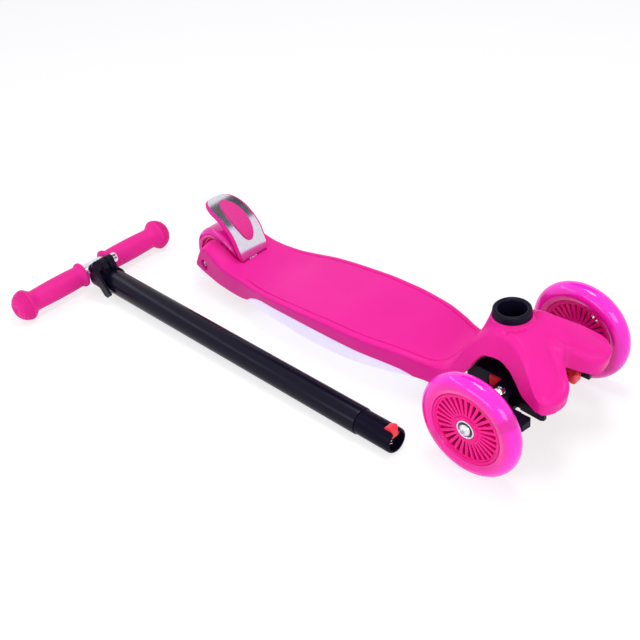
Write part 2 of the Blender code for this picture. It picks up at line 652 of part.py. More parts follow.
def front_bridge(frame):
    """The black beam under the head that carries both kingpins."""
    upper = [(BRIDGE_REAR, 0.006 - REAR_BEAM_HALF), (BRIDGE_REAR + 0.006, -REAR_BEAM_HALF),
             (BRIDGE_STEP - 0.004, -REAR_BEAM_HALF), (-EAR_RADIUS, -BRIDGE_HALF)]
    upper += round_end((0, -KINGPIN_Y), EAR_RADIUS, -pi, 0)
    upper += [(EAR_RADIUS, -BRIDGE_HALF), (BRIDGE_FRONT, -BRIDGE_HALF)]
    upper += [(x, -y) for x, y in upper[::-1]]
    lower = [(BRIDGE_STEP, -BRIDGE_HALF)] + round_end((0, -KINGPIN_Y), EAR_RADIUS, -pi, 0)
    lower += [(EAR_RADIUS, -BRIDGE_HALF), (BRIDGE_FRONT, -BRIDGE_HALF)]
    lower += [(x, -y) for x, y in lower[::-1]]
    bridge = plate("front_bridge", upper, EAR_TOP - EAR_THICKNESS, EAR_TOP, "black_plastic", frame)
    lower_plate = plate("bridge_lower", lower, EAR_BOTTOM, EAR_BOTTOM + EAR_THICKNESS, None, frame)
    middle = block("bridge_middle", (BRIDGE_STEP, -BRIDGE_HALF, EAR_BOTTOM + 0.001),
                   (BRIDGE_FRONT, BRIDGE_HALF, EAR_TOP - 0.001), None, frame)
    rear = block("bridge_rear", (BRIDGE_REAR + 0.003, -REAR_BEAM_HALF + 0.001, REAR_BEAM_BOTTOM),
                 (BRIDGE_STEP + 0.001, REAR_BEAM_HALF - 0.001, EAR_TOP - 0.001), None, frame)
    nose = block("bridge_nose", (BRIDGE_FRONT - 0.002, -NOSE_HALF, NOSE_LOW), (NOSE_FRONT, NOSE_HALF, NOSE_HIGH),
                 None, frame)
    horns = []
    for side in (1, -1):
        inner = STOP_OUTER + GAP
        outline = [(BRIDGE_FRONT - 0.006, BRIDGE_HALF - 0.006), (BRIDGE_FRONT + 0.0015, BRIDGE_HALF - 0.006),
                   (BRIDGE_FRONT + 0.0015, inner), (HORN_FRONT, inner), (HORN_FRONT, HORN_OUTER - 0.002),
                   (HORN_FRONT - 0.003, HORN_OUTER), (BRIDGE_FRONT, HORN_OUTER - 0.002),
                   (BRIDGE_FRONT - 0.006, BRIDGE_HALF - 0.0005)]
        horns.append(plate(f"bridge_horn_{side}", [(x, side * y) for x, y in outline],
                           NOSE_HIGH - HORN_THICKNESS, NOSE_HIGH + 0.0005, None, frame))
    join(bridge, lower_plate, middle, rear, nose, *horns)
    slot = block("bridge_slot_cutter", (2 * COLUMN_X - SLOT_FRONT, -SLOT_HALF, 0.04), (SLOT_FRONT, SLOT_HALF, 0.08),
                 None, frame)
    pocket = plate("buffer_cutter", buffer_outline(GAP), BUFFER_LOW - GAP, BUFFER_HIGH + GAP, None, frame)
    cut(bridge, slot, pocket)
    for side in (1, -1):
        bore = rod(f"kingpin_cutter_{side}", KINGPIN_RADIUS + GAP, 0.03, 0.08, None, frame,
                   (0, side * KINGPIN_Y, 0), steps=SMALL_STEPS)
        cut(bridge, bore)
        for number, (x, y) in enumerate(BRIDGE_BOLTS):
            hole = rod(f"bridge_hole_cutter_{side}_{number}", BRIDGE_BOLT_RADIUS + GAP, 0.03, 0.08, None,
                       frame, (x, side * y, 0), steps=BOLT_STEPS)
            cut(bridge, hole)
    return bridge


def buffer_outline(grow=0.0):
    """The buffer's plan, a U that lies round the front of the finger's slot, grown by a clearance."""
    inner_x, inner_y = SLOT_FRONT + GAP - grow, SLOT_HALF + GAP - grow
    rear, front, outer = BUFFER_REAR - grow, BUFFER_FRONT + grow, BUFFER_OUTER + grow
    return [(rear, inner_y), (rear, outer), (front, outer), (front, -outer), (rear, -outer), (rear, -inner_y),
            (inner_x, -inner_y), (inner_x, inner_y)]


def lean_buffer(frame):
    """The elastic block in the bridge that the finger leans against on both sides."""
    return plate("lean_buffer", buffer_outline(), BUFFER_LOW, BUFFER_HIGH, "red_plastic", frame)


def bolt_profile(shaft, start, end, head, height, key):
    """A button-head bolt that points up from its head at the bottom of the profile."""
    return ((0, start + 0.5 * height), (key, start + 0.5 * height), (key, start), (head, start),
            (head, start + height), (shaft, start + height), (shaft, end), (0, end))


def bridge_bolts(frame):
    for side, word in ((1, "left"), (-1, "right")):
        for (x, y), place in zip(BRIDGE_BOLTS, ("rear", "front")):
            seat = REAR_BEAM_BOTTOM if place == "rear" else EAR_BOTTOM
            profile = bolt_profile(BRIDGE_BOLT_RADIUS, seat - GAP - 0.0025, EAR_TOP + 0.013, 0.0045, 0.0025, 0.0015)
            turned(f"bridge_bolt_{place}_{word}", profile, "bright_steel", frame, (x, side * y, 0), steps=BOLT_STEPS)


def kingpin(frame, side):
    word = "left" if side > 0 else "right"
    profile = bolt_profile(KINGPIN_RADIUS, -EAR_TOP - GAP - 0.0037, -EAR_BOTTOM + 0.0005, 0.0066, 0.0037, 0.0022)
    return turned(f"kingpin_{word}", profile, "bright_steel", frame, (0, side * KINGPIN_Y, 0), (pi, 0, 0), SMALL_STEPS)


def steer_stop(frame, side):
    """A pad on the nose that the knuckle's limb comes to rest on at full lock."""
    word = "left" if side > 0 else "right"
    low, high = sorted((side * (NOSE_HALF + GAP), side * STOP_OUTER))
    pad = block(f"steer_stop_{word}", (STOP_REAR, low, NOSE_LOW - 0.0015), (STOP_FRONT, high, NOSE_HIGH - 0.001),
                "red_plastic", frame)
    bevel = pad.modifiers.new("soft_edges", "BEVEL")
    bevel.width = 0.0015
    bevel.segments = 1
    return pad


def lean_pins(frame):
    for side, word in ((1, "front"), (-1, "rear")):
        rod(f"lean_pin_{word}", LEAN_PIN_RADIUS, SOCKET_BORE + GAP, SEAT_OUTER - 0.001, "bright_steel", frame,
            (COLUMN_X, 0, LEAN_HEIGHT), (0, side * pi / 2, 0), SMALL_STEPS)


def steering_socket(frame):
    """The socket that takes the column. It leans about its two pins, and its finger moves the tie rod."""
    lean = empty("lean_axis", frame, (COLUMN_X, 0, LEAN_HEIGHT))
    under = SEAT_RADIUS + GAP
    start = asin(SOCKET_RADIUS / under)
    end = asin(COLLAR_RADIUS / under)
    dome = [(under * sin(a), under * cos(a)) for a in np.linspace(start, end, 3)]
    rim = COLLAR_TOP - LEAN_HEIGHT
    floor = SOCKET_FLOOR - LEAN_HEIGHT
    ball = FINGER_HEIGHT - LEAN_HEIGHT
    tip = [(FINGER_RADIUS * cos(a), ball - FINGER_RADIUS * sin(a)) for a in np.linspace(-0.6, 0.5 * pi, 4)]
    profile = [(0, floor), (SOCKET_BORE, floor), (SOCKET_BORE, rim - 0.0015), (SOCKET_BORE + 0.0015, rim)]
    profile += [(COLLAR_RADIUS - COLLAR_DRAFT - 0.0015, rim), (COLLAR_RADIUS - COLLAR_DRAFT, rim - 0.0015)]
    profile += dome[::-1]
    profile += [(SOCKET_RADIUS, floor - 0.004), (0.007, floor - 0.010), (0.006, ball + 0.014)]
    profile += [(0.0033, ball + 0.009)] + tip[:-1] + [(0, ball - FINGER_RADIUS)]
    socket = turned("steering_socket", profile, "black_plastic", lean)
    pins = rod("socket_pin_cutter", LEAN_PIN_RADIUS + GAP, -0.03, 0.03, None, lean, (0, 0, 0), ALONG_X, SMALL_STEPS)
    window = block("catch_window_cutter", (0, -CATCH_HALF_WIDTH - 0.001, -0.024), (0.03, CATCH_HALF_WIDTH + 0.001, -0.005),
                   None, lean)
    return cut(socket, pins, window)


def knuckle(frame, side):
    """The arm that turns about a kingpin and carries a front wheel, modelled for the left side."""
    word = "left" if side > 0 else "right"
    axis = empty(f"kingpin_axis_{word}", frame, (0, side * KINGPIN_Y, 0))
    low, high = EAR_BOTTOM + EAR_THICKNESS + GAP, EAR_TOP - EAR_THICKNESS - GAP
    body = rod(f"knuckle_{word}", SLEEVE_RADIUS, low, high, "black_plastic", axis, steps=16)
    stub = 0.5 * TRACK - KINGPIN_Y - 0.5 * CORE_WIDTH
    outline = [(-0.011, 0.004), (0.012, 0.004), (0.021, 0.008), (0.033, 0.008), (0.034, 0.020), (0.028, stub - 0.010),
               (0.014, stub - 0.006), (-0.011, stub - 0.006)]
    limb = [(0.028, 0.0083), (0.044, 0.0083), (0.0465, 0.0120), (0.045, 0.0235), (0.040, 0.028), (0.025, stub - 0.007)]
    arm_low = ROD_BOTTOM + ROD_THICKNESS + GAP
    plan = plate(f"knuckle_plan_{word}", [(x, side * y) for x, y in outline], low + 0.0003, high - 0.0003, None, axis)
    shield = plate(f"knuckle_limb_{word}", [(x, side * y) for x, y in limb], LIMB_BOTTOM, high - 0.001, None, axis)
    arm = plate(f"knuckle_arm_{word}", round_end((-STEER_ARM, 0), ROD_EYE_RADIUS, 0.5 * pi, 1.5 * pi)
                + [(0.002, -0.007), (0.002, 0.007)], arm_low, arm_low + ARM_THICKNESS, None, axis)
    boss = rod(f"hub_boss_{word}", 0.0078, stub - 0.014, stub - 0.0008, None, axis, (0, 0, FRONT_RADIUS),
               (-side * pi / 2, 0, 0), 14)
    join(body, plan, shield, arm, boss)
    king_bore = rod(f"king_bore_cutter_{word}", KINGPIN_RADIUS + GAP, 0.03, 0.08, None, axis, steps=SMALL_STEPS)
    axle_bore = rod(f"axle_bore_cutter_{word}", AXLE_RADIUS + GAP, 0.0125, 0.06, None, axis, (0, 0, FRONT_RADIUS),
                    (-side * pi / 2, 0, 0), SMALL_STEPS)
    tie_bore = rod(f"tie_bore_cutter_{word}", TIE_BOLT_RADIUS + GAP, 0.03, 0.08, None, axis, (-STEER_ARM, 0, 0),
                   steps=10)
    cut(body, king_bore, axle_bore, tie_bore)
    head = arm_low + ARM_THICKNESS + GAP
    profile = bolt_profile(TIE_BOLT_RADIUS, -head - 0.0027, -ROD_BOTTOM + 0.0004, 0.005, 0.0027, 0.0016)
    turned(f"tie_bolt_{word}", profile, "bright_steel", axis, (-STEER_ARM, 0, 0), (pi, 0, 0), 10)
    front_wheel(axis, side, word)
    return axis


def tie_rod(axis):
    """The red rod between the steering arms. It turns on the left bolt."""
    pivot = empty("tie_rod_axis", axis, (-STEER_ARM, 0, 0))
    far = -2 * KINGPIN_Y
    half, waist = 0.0072, 0.0045
    middle = 0.5 * far
    slot_length = 0.0125
    offset = COLUMN_X + STEER_ARM
    front = offset + 0.5 * slot_length + 0.0028
    outline = round_end((0, 0), ROD_EYE_RADIUS, -0.7, pi + 0.7)
    outline += [(-waist, -0.016), (-waist, middle + 0.017), (-half, middle + 0.012), (-half, middle - 0.012),
                (-waist, middle - 0.017), (-waist, far + 0.016)]
    outline += round_end((0, far), ROD_EYE_RADIUS, pi - 0.7, 2 * pi + 0.7)
    outline += [(waist, far + 0.016), (waist, middle - 0.017), (front, middle - 0.012), (front, middle + 0.012),
                (waist, middle + 0.017), (waist, -0.016)]
    body = plate("tie_rod", outline, ROD_BOTTOM, ROD_BOTTOM + ROD_THICKNESS, "red_plastic", pivot)
    slot_y = FINGER_RADIUS + GAP
    slot = block("finger_slot_cutter", (offset - 0.5 * slot_length, middle - slot_y, 0.03),
                 (offset + 0.5 * slot_length, middle + slot_y, 0.07), None, pivot)
    bolts = [rod(f"rod_eye_cutter_{number}", TIE_BOLT_RADIUS + GAP, 0.03, 0.07, None, pivot, (0, y, 0), steps=10)
             for number, y in enumerate((0, far))]
    return cut(body, slot, *bolts)


def bearing(name, parent, start, rotation, location=(0, 0, 0)):
    inner, outer = AXLE_RADIUS + GAP, BEARING_RADIUS - GAP
    return ring(name, inner, outer, start, start + BEARING_WIDTH, "bright_steel", parent, location, rotation, SMALL_STEPS)


def front_wheel(axis, side, word):
    """Core, tyre, two bearings and their spacer turn on the axle bolt. Local +Z points away from the deck."""
    out = (-side * pi / 2, 0, 0)
    hub = empty(f"wheel_axis_{word}", axis, (0, side * (0.5 * TRACK - KINGPIN_Y), FRONT_RADIUS), out)
    half = 0.5 * CORE_WIDTH
    pocket = BEARING_WIDTH + GAP
    seat = TYRE_BORE - GAP
    flange = half - 0.002
    rim = seat - CORE_RIM
    hub_radius = CORE_HUB_RADIUS
    profile = [(BEARING_RADIUS, half), (hub_radius, half), (rim, flange), (seat, half), (seat, -half),
               (rim, -flange), (hub_radius, -half), (BEARING_RADIUS, -half), (BEARING_RADIUS, -half + pocket),
               (0.0085, -half + pocket), (0.0085, half - pocket), (BEARING_RADIUS, half - pocket)]
    core = turned(f"wheel_core_{word}", profile, "pink_core", hub, steps=SPOKE_SLOTS)
    cut(core, spoke_cutter(hub, word, hub_radius, rim))
    bulge = 0.5 * FRONT_WIDTH
    crown = FRONT_RADIUS - bulge
    tyre = [(crown + bulge * cos(a), bulge * sin(a)) for a in np.linspace(-0.5 * pi, 0.5 * pi, 8)]
    tyre = [(TYRE_BORE, -half)] + tyre + [(TYRE_BORE, half)]
    turned(f"tyre_{word}", tyre, "magenta_tyre", hub, steps=30)
    bearing(f"bearing_outer_{word}", hub, half - BEARING_WIDTH, (0, 0, 0))
    bearing(f"bearing_inner_{word}", hub, -half, (0, 0, 0))
    ring(f"magnet_spacer_{word}", AXLE_RADIUS + GAP, 0.0072, -half + pocket, half - pocket, "bright_steel", hub,
         steps=SMALL_STEPS)
    shaft = -(0.5 * TRACK - KINGPIN_Y) + 0.013
    head = half + GAP
    profile = bolt_profile(AXLE_RADIUS, -head - BOLT_HEAD_HEIGHT, -shaft, BOLT_HEAD_RADIUS, BOLT_HEAD_HEIGHT,
                           HEX_KEY)
    turned(f"axle_bolt_{word}", profile, "bright_steel", hub, rotation=(pi, 0, 0), steps=SMALL_STEPS)


def spoke_cutter(hub, word, inner, outer):
    """Narrow slots between the spokes, all in one cutter."""
    shape = bmesh.new()
    start, end = inner + 0.0022, outer - 0.0016
    for number in range(SPOKE_SLOTS):
        turn = Matrix.Rotation(2 * pi * number / SPOKE_SLOTS, 3, "Z")
        near = pi * start / SPOKE_SLOTS - 0.5 * SPOKE_THICKNESS
        far = pi * end / SPOKE_SLOTS - 0.5 * SPOKE_THICKNESS
        corners = ((start, -near), (end, -far), (end, far), (start, near))
        face = shape.faces.new([shape.verts.new(turn @ Vector((x, y, -0.02))) for x, y in corners])
        top = bmesh.ops.extrude_face_region(shape, geom=[face])["geom"]
        bmesh.ops.translate(shape, verts=[v for v in top if isinstance(v, bmesh.types.BMVert)], vec=(0, 0, 0.04))
    return add(f"spoke_cutter_{word}", shape, None, hub)


def rear_wheel(frame):
    """The wide rear wheel between the fork's cheeks, with its bolt through both."""
    hub = empty("rear_axis", frame, (-WHEELBASE, 0, REAR_RADIUS), ALONG_Y)
    half = 0.5 * REAR_WIDTH
    seat = REAR_TYRE_BORE - GAP
    pocket = BEARING_WIDTH + GAP
    web = 0.006
    profile = [(BEARING_RADIUS, half), (0.015, half), (0.0155, web), (seat - 0.0045, web), (seat - 0.0035, half - 0.004),
               (seat, half - 0.004), (seat, -half + 0.004), (seat - 0.0035, -half + 0.004), (seat - 0.0045, -web),
               (0.0155, -web), (0.015, -half), (BEARING_RADIUS, -half), (BEARING_RADIUS, -half + pocket),
               (0.0085, -half + pocket), (0.0085, half - pocket), (BEARING_RADIUS, half - pocket)]
    turned("rear_core", profile, "pink_core", hub, steps=16)
    shoulder = 0.008
    arc = [(REAR_RADIUS - shoulder + shoulder * cos(a), half - shoulder + shoulder * sin(a))
           for a in np.linspace(0, 0.5 * pi, 4)]
    tyre = [(r, -z) for r, z in arc[::-1]] + arc
    tyre = [(REAR_TYRE_BORE, -half + 0.003)] + tyre + [(REAR_TYRE_BORE, half - 0.003)]
    turned("rear_tyre", tyre, "magenta_tyre", hub)
    bearing("rear_bearing_left", hub, half - BEARING_WIDTH, (0, 0, 0))
    bearing("rear_bearing_right", hub, -half, (0, 0, 0))
    ring("rear_spacer", AXLE_RADIUS + GAP, 0.0072, -half + pocket, half - pocket, "aluminium", hub, steps=SMALL_STEPS)
    reach = FORK_OUTER - COUNTERBORE_DEPTH
    for side, word in ((1, "left"), (-1, "right")):
        low, high = sorted((side * (half + GAP), side * (FORK_INNER - GAP)))
        ring(f"rear_washer_{word}", AXLE_RADIUS + GAP, 0.0068, low, high, "bright_steel", hub, steps=SMALL_STEPS)
    profile = bolt_profile(AXLE_RADIUS, -reach - GAP - 0.005, reach + 0.0065, BOLT_HEAD_RADIUS, 0.005, HEX_KEY)
    turned("rear_axle_bolt", profile, "bright_steel", hub, steps=SMALL_STEPS)
    hexagon = round_end((0, 0), NUT_CORNER, 0, 5 * pi / 3, 5)
    nut = plate("rear_axle_nut", hexagon, reach + GAP, reach + GAP + 0.0055, "bright_steel", hub)
    cut(nut, rod("nut_cutter", AXLE_RADIUS + GAP, 0, 0.06, None, hub, steps=SMALL_STEPS))


def brake_points(offset):
    """The brake's side view moved outward by an offset, as (x, z) points relative to the hinge."""
    curve = [Vector(point) for point in BRAKE_SIDE]
    dense = []
    for i in range(len(curve) - 1):
        before = curve[max(i - 1, 0)]
        after = curve[min(i + 2, len(curve) - 1)]
        for t in np.arange(0, 1, 1 / BRAKE_STEPS):
            dense.append(catmull(before, curve[i], curve[i + 1], after, t))
    dense.append(curve[-1])
    moved = []
    for i, point in enumerate(dense):
        run = dense[min(i + 1, len(dense) - 1)] - dense[max(i - 1, 0)]
        normal = Vector((run.y, -run.x)).normalized()
        moved.append(point + normal * offset)
    return moved


def catmull(a, b, c, d, t):
    return 0.5 * ((2 * b) + (c - a) * t + (2 * a - 5 * b + 4 * c - d) * t * t + (3 * b - a - 3 * c + d) * t ** 3)


def brake_width(share, inset):
    """Half width along the brake, from 0 at its foot, which fits between the cheeks, to 1 at its tip."""
    if share == 0:
        return FORK_INNER - 2 * RUNNING_GAP
    if share <= BRAKE_TIP_FROM:
        return BRAKE_HALF - inset
    t = (share - BRAKE_TIP_FROM) / (1 - BRAKE_TIP_FROM)
    return max((BRAKE_HALF - inset) * sqrt(max(1 - t ** 2.6, 0)), 0.006)


def brake_sheet(name, offset, thickness, inset, first, last, material, parent, half_width=None):
    points = brake_points(offset)[first:last]
    total = len(brake_points(0)) - 1
    rows = []
    for i, point in enumerate(points):
        width = half_width(i / (len(points) - 1)) if half_width else brake_width((i + first) / total, inset)
        rows.append([Vector((point.x, width * t, point.y)) for t in (0, 0.5, 0.85, 1)])
    sheet = add(name, strip_mesh(rows), material, parent)
    face_towards(sheet, (1, 0, 1))
    solidify(sheet, thickness, 1)
    return sheet


def brake(frame):
    """The foot brake over the rear wheel, with its hinge, spring, plate and pad."""
    axis = empty("brake_axis", frame, (BRAKE_X, 0, BRAKE_Z))
    fender = brake_sheet("brake_fender", 0, BRAKE_WALL, 0, 0, None, "pink_plastic", axis)
    foot_x = BRAKE_SIDE[0][0]
    width = FORK_INNER - 2 * RUNNING_GAP
    web = block("brake_web", (foot_x, -width, -0.0005), (foot_x + BRAKE_WALL, width, 0.012), None, axis)
    barrel = rod("brake_barrel", BRAKE_BARREL, -width, width, None, axis, (0, 0, 0), ALONG_Y, 16)
    join(fender, web, barrel)
    coil_room = rod("coil_cutter", BRAKE_COIL_RADIUS + 0.0022, -0.0085, 0.0085, None, axis, (0, 0, 0), ALONG_Y, 16)
    bore = rod("brake_pin_cutter", BRAKE_PIN_RADIUS + GAP, -0.03, 0.03, None, axis, (0, 0, 0), ALONG_Y, SMALL_STEPS)
    cut(fender, coil_room, bore)
    first = 1
    rise = BRAKE_WALL + GAP
    brake_sheet("fender_plate", rise, PLATE_WALL, PLATE_INSET, first, -1, "aluminium", axis)

    def pad_width(share):
        return 0.003 + 0.0105 * sin(pi * min(0.93, max(0.07, 0.12 + 0.80 * share)))

    brake_sheet("fender_pad", rise + PLATE_WALL + GAP, PAD_WALL, 0, 2, 8, "pink_rubber", axis, pad_width)
    reach = FORK_INNER + CHEEK_WALL - 0.0005
    rod("brake_pin", BRAKE_PIN_RADIUS, -reach, reach, "bright_steel", frame, (BRAKE_X, 0, BRAKE_Z), ALONG_Y, SMALL_STEPS)
    coil("brake_spring", BRAKE_COIL_RADIUS, BRAKE_COIL_WIRE, BRAKE_COIL_TURNS, 0.013, frame,
         (BRAKE_X, -0.0065, BRAKE_Z), ALONG_Y)


def coil(name, radius, wire, turns, length, parent, location, rotation):
    """A round spring of one unbroken wire about local Z."""
    per_turn = 8
    count = turns * per_turn
    pitch = length / turns
    assert pitch - 2 * wire > 0.0004
    print(f"{name}: {pitch - 2 * wire:.5f} m between turns")
    curve = bpy.data.curves.new(name, "CURVE")
    curve.dimensions = "3D"
    spline = curve.splines.new("POLY")
    spline.points.add(count)
    for i in range(count + 1):
        angle = 2 * pi * i / per_turn
        spline.points[i].co = (radius * cos(angle), radius * sin(angle), length * i / count, 1)
    curve.bevel_depth = wire
    curve.bevel_resolution = 1
    curve.use_fill_caps = True
    curve.materials.append(bpy.data.materials["bright_steel"])
    obj = bpy.data.objects.new(name, curve)
    bpy.context.collection.objects.link(obj)
    obj.parent = parent
    obj.location = location
    obj.rotation_euler = rotation
    return obj


def column(tbar):
    """The lower tube, its plug for the deck's socket, and the clamp that holds the stem."""
    inner = COLUMN_RADIUS - COLUMN_WALL
    tube = ring("column_tube", inner, COLUMN_RADIUS, COLUMN_START, COLUMN_END, "black_paint", tbar,
                rotation=ALONG_X)
    tube_slot = block("tube_slot_cutter", (0.0, -0.5 * CLAMP_SLOT, 0.008), (CLAMP_END, 0.5 * CLAMP_SLOT, 0.03),
                      None, tbar)
    cut(tube, tube_slot)

    spigot = inner - GAP
    profile = [(0, COLUMN_END - PLUG_SPIGOT), (spigot, COLUMN_END - PLUG_SPIGOT), (spigot, COLUMN_END + GAP),
               (PLUG_RADIUS, COLUMN_END + GAP), (PLUG_RADIUS, PLUG_END - 0.0015), (PLUG_RADIUS - 0.0015, PLUG_END),
               (PLUG_BORE, PLUG_END), (PLUG_BORE, CATCH_X - 0.022), (0, CATCH_X - 0.022)]
    plug = turned("column_plug", profile, "black_plastic", tbar, rotation=ALONG_X)
    slot = block("catch_slot_cutter", (CATCH_X + CATCH_HALF_LENGTH - CATCH_HEAD - 0.001, -CATCH_HALF_WIDTH - GAP, 0),
                 (PLUG_END + 0.01, CATCH_HALF_WIDTH + GAP, 0.03), None, tbar)
    cut(plug, slot)
    catch(tbar)

    bore = COLUMN_RADIUS + GAP
    outer = bore + CLAMP_WALL
    clamp = ring("clamp_collar", bore, outer, CLAMP_START, CLAMP_END, "black_paint", tbar, rotation=ALONG_X)
    ears = plate("clamp_ears", [(CLAMP_START + 0.004, 0.014), (CLAMP_END - 0.002, 0.014), (CLAMP_END - 0.002, 0.022)]
                 + round_end((SKEWER_X, SKEWER_Z), 0.0075, 0.15, pi - 0.15) + [(CLAMP_START + 0.004, 0.020)],
                 -EAR_HALF, EAR_HALF, None, tbar, rotation=(pi / 2, 0, 0))
    join(clamp, ears)
    clamp_bore = rod("clamp_bore_cutter", bore, 0.0, 0.06, None, tbar, rotation=ALONG_X)
    clamp_slot = block("clamp_slot_cutter", (0.0, -0.5 * CLAMP_SLOT, 0.008), (0.06, 0.5 * CLAMP_SLOT, 0.04), None, tbar)
    skewer_bore = rod("skewer_cutter", SKEWER_RADIUS + GAP, -0.03, 0.03, None, tbar, (SKEWER_X, 0, SKEWER_Z),
                      ALONG_Y, SMALL_STEPS)
    cut(clamp, clamp_bore, clamp_slot, skewer_bore)


def catch(tbar):
    """The sprung catch in the plug. It slides towards the column's axis."""
    axis = empty("catch_axis", tbar, (CATCH_X, 0, 0))
    top = PLUG_RADIUS + CATCH_PROUD
    length = CATCH_HALF_LENGTH
    rear = length - CATCH_HEAD
    side_view = [(rear, 0.005), (length, 0.005), (length, top - 0.0022), (length - 0.0020, top),
                 (length - 0.0038, top), (rear, PLUG_RADIUS + 0.0010)]
    body = plate("release_catch", side_view, -CATCH_HALF_WIDTH, CATCH_HALF_WIDTH, "red_plastic", axis,
                 rotation=(pi / 2, 0, 0))
    flange_half = 0.0078
    flange_top = sqrt(PLUG_BORE ** 2 - flange_half ** 2) - GAP
    flange = block("catch_flange", (-length + 0.001, -flange_half, 0.0045),
                   (length - 0.001, flange_half, flange_top), None, axis)
    join(body, flange)
    floor = -PLUG_BORE + 0.0003 + 2 * CATCH_COIL_WIRE + GAP
    coil("catch_spring", CATCH_COIL_RADIUS, CATCH_COIL_WIRE, CATCH_COIL_TURNS,
         0.0045 - GAP - CATCH_COIL_WIRE - 0.0002 - floor, tbar, (CATCH_X, 0, floor), (0, 0, 0))


def quick_release(tbar):
    """The skewer through the clamp's ears, its nut, and the lever with its cam."""
    cam_y = -(EAR_HALF + GAP + CAM_RADIUS)
    turn = (0, LEVER_DROP, 0)
    skewer = rod("qr_skewer", SKEWER_RADIUS, cam_y + 0.002, EAR_HALF + GAP + NUT_LENGTH - 0.001, "bright_steel",
                 tbar, (SKEWER_X, 0, SKEWER_Z), ALONG_Y, SMALL_STEPS)
    eye = rod("skewer_eye", EYE_RADIUS, -0.0026, 0.0026, None, tbar, (SKEWER_X, cam_y, SKEWER_Z), turn, SMALL_STEPS)
    eye_bore = rod("eye_cutter", CAM_PIN_RADIUS + GAP, -0.01, 0.01, None, tbar, (SKEWER_X, cam_y, SKEWER_Z), turn, 10)
    join(skewer, eye)
    cut(skewer, eye_bore)
    nut = ring("qr_nut", SKEWER_RADIUS + GAP, NUT_RADIUS, EAR_HALF + GAP, EAR_HALF + GAP + NUT_LENGTH,
               "bright_steel", tbar, (SKEWER_X, 0, SKEWER_Z), ALONG_Y, SMALL_STEPS)

    axis = empty("lever_axis", tbar, (SKEWER_X, cam_y, SKEWER_Z), turn)
    lever = rod("qr_lever", CAM_RADIUS, -CAM_HALF, CAM_HALF, "black_plastic", axis, steps=20)
    outer = -CAM_RADIUS
    arm_outline = [(0, outer), (LEVER_LENGTH - 0.004, outer + 0.001), (LEVER_LENGTH, outer + 0.003),
                   (LEVER_LENGTH, outer + 0.001 + LEVER_WALL), (LEVER_LENGTH - 0.004, outer + 0.001 + LEVER_WALL),
                   (0.004, outer + LEVER_WALL + 0.0008), (0, outer + LEVER_WALL)]
    arm = plate("lever_arm", arm_outline, -CAM_HALF + 0.0004, CAM_HALF - 0.0004, None, axis)
    join(lever, arm)
    slot = block("lever_slot_cutter", (-0.02, -0.02, -0.0029), (0.0035, 0.02, 0.0029), None, axis)
    cut(lever, slot)
    pin = rod("cam_pin", CAM_PIN_RADIUS, -CAM_HALF + 0.001, CAM_HALF - 0.001, None, axis, steps=10)
    join(lever, pin)
    return nut


def t_handle(tbar):
    """The welded T of stem and handlebar, which slides in the column, and its two grips."""
    slide = empty("stem_axis", tbar)
    handle = rod("t_handle", STEM_RADIUS, STEM_TOP, STEM_END, "aluminium", slide, rotation=ALONG_X)
    bar_half = GRIP_END - 0.0065
    bar = rod("handlebar", BAR_RADIUS, -bar_half, bar_half, None, slide, rotation=ALONG_Y, steps=12)
    join(handle, bar)
    bar_bore = rod("bar_cutter", BAR_RADIUS - BAR_WALL, -0.15, 0.15, None, slide, rotation=ALONG_Y, steps=12)
    stem_bore = rod("stem_cutter", STEM_RADIUS - STEM_WALL, BAR_RADIUS + 0.002, STEM_END + 0.01, None, slide,
                    rotation=ALONG_X)
    cut(handle, stem_bore, bar_bore)
    for side, word in ((1, "left"), (-1, "right")):
        grip(slide, side, word)


def grip(slide, side, word):
    bore = BAR_RADIUS + GAP
    start, end = GRIP_START, GRIP_END
    bell = end - 0.016
    dome = [(BELL_RADIUS - 0.010 + 0.010 * cos(a), end - 0.010 + 0.010 * sin(a)) for a in np.linspace(0.1, 0.5 * pi, 4)]
    neck = [(GRIP_RADIUS - 0.0008, bell - 0.013), (GRIP_RADIUS + 0.0012, bell - 0.009), (BELL_RADIUS - 0.002, bell - 0.0045),
            (BELL_RADIUS, bell)]
    profile = [(0, end - 0.005), (bore, end - 0.005), (bore, start), (GRIP_FLANGE, start),
               (GRIP_FLANGE, start + 0.004), (GRIP_RADIUS + 0.0005, start + 0.0065),
               (GRIP_RADIUS - 0.0008, start + 0.010), (GRIP_RADIUS + 0.0006, start + 0.042)]
    profile += neck + dome + [(0, end)]
    turned(f"grip_{word}", profile, "pink_rubber", slide, rotation=(-side * pi / 2, 0, 0), steps=14)


def main():
    clear_scene()
    make_materials()
    bell_reach = GRIP_END * abs(sin(TBAR_YAW)) + BELL_RADIUS
    rear_most = TBAR_X - bell_reach
    front_most = NOTCH_CENTRE + max(value for _, value in NOTCH)
    left_most = 0.5 * (TRACK + CORE_WIDTH) + BOLT_HEAD_HEIGHT + GAP
    right_most = TBAR_Y - GRIP_END
    origin = (-0.5 * (rear_most + front_most), -0.5 * (left_most + right_most), 0)
    frame = empty("deck_frame", None, origin)
    deck_body(frame)
    light_panel(frame)
    for side in (1, -1):
        strip_light(frame, side)
        kingpin(frame, side)
        steer_stop(frame, side)
    battery_box(frame)
    front_bridge(frame)
    lean_buffer(frame)
    bridge_bolts(frame)
    lean_pins(frame)
    steering_socket(frame)
    left = knuckle(frame, 1)
    knuckle(frame, -1)
    tie_rod(left)
    rear_wheel(frame)
    brake(frame)

    pitch = asin((BELL_RADIUS - COLUMN_RADIUS) / COLUMN_END)
    place = (origin[0] + TBAR_X, origin[1] + TBAR_Y, BELL_RADIUS)
    tbar = empty("tbar_frame", None, place, (0, pitch, TBAR_YAW))
    column(tbar)
    quick_release(tbar)
    t_handle(tbar)


main()
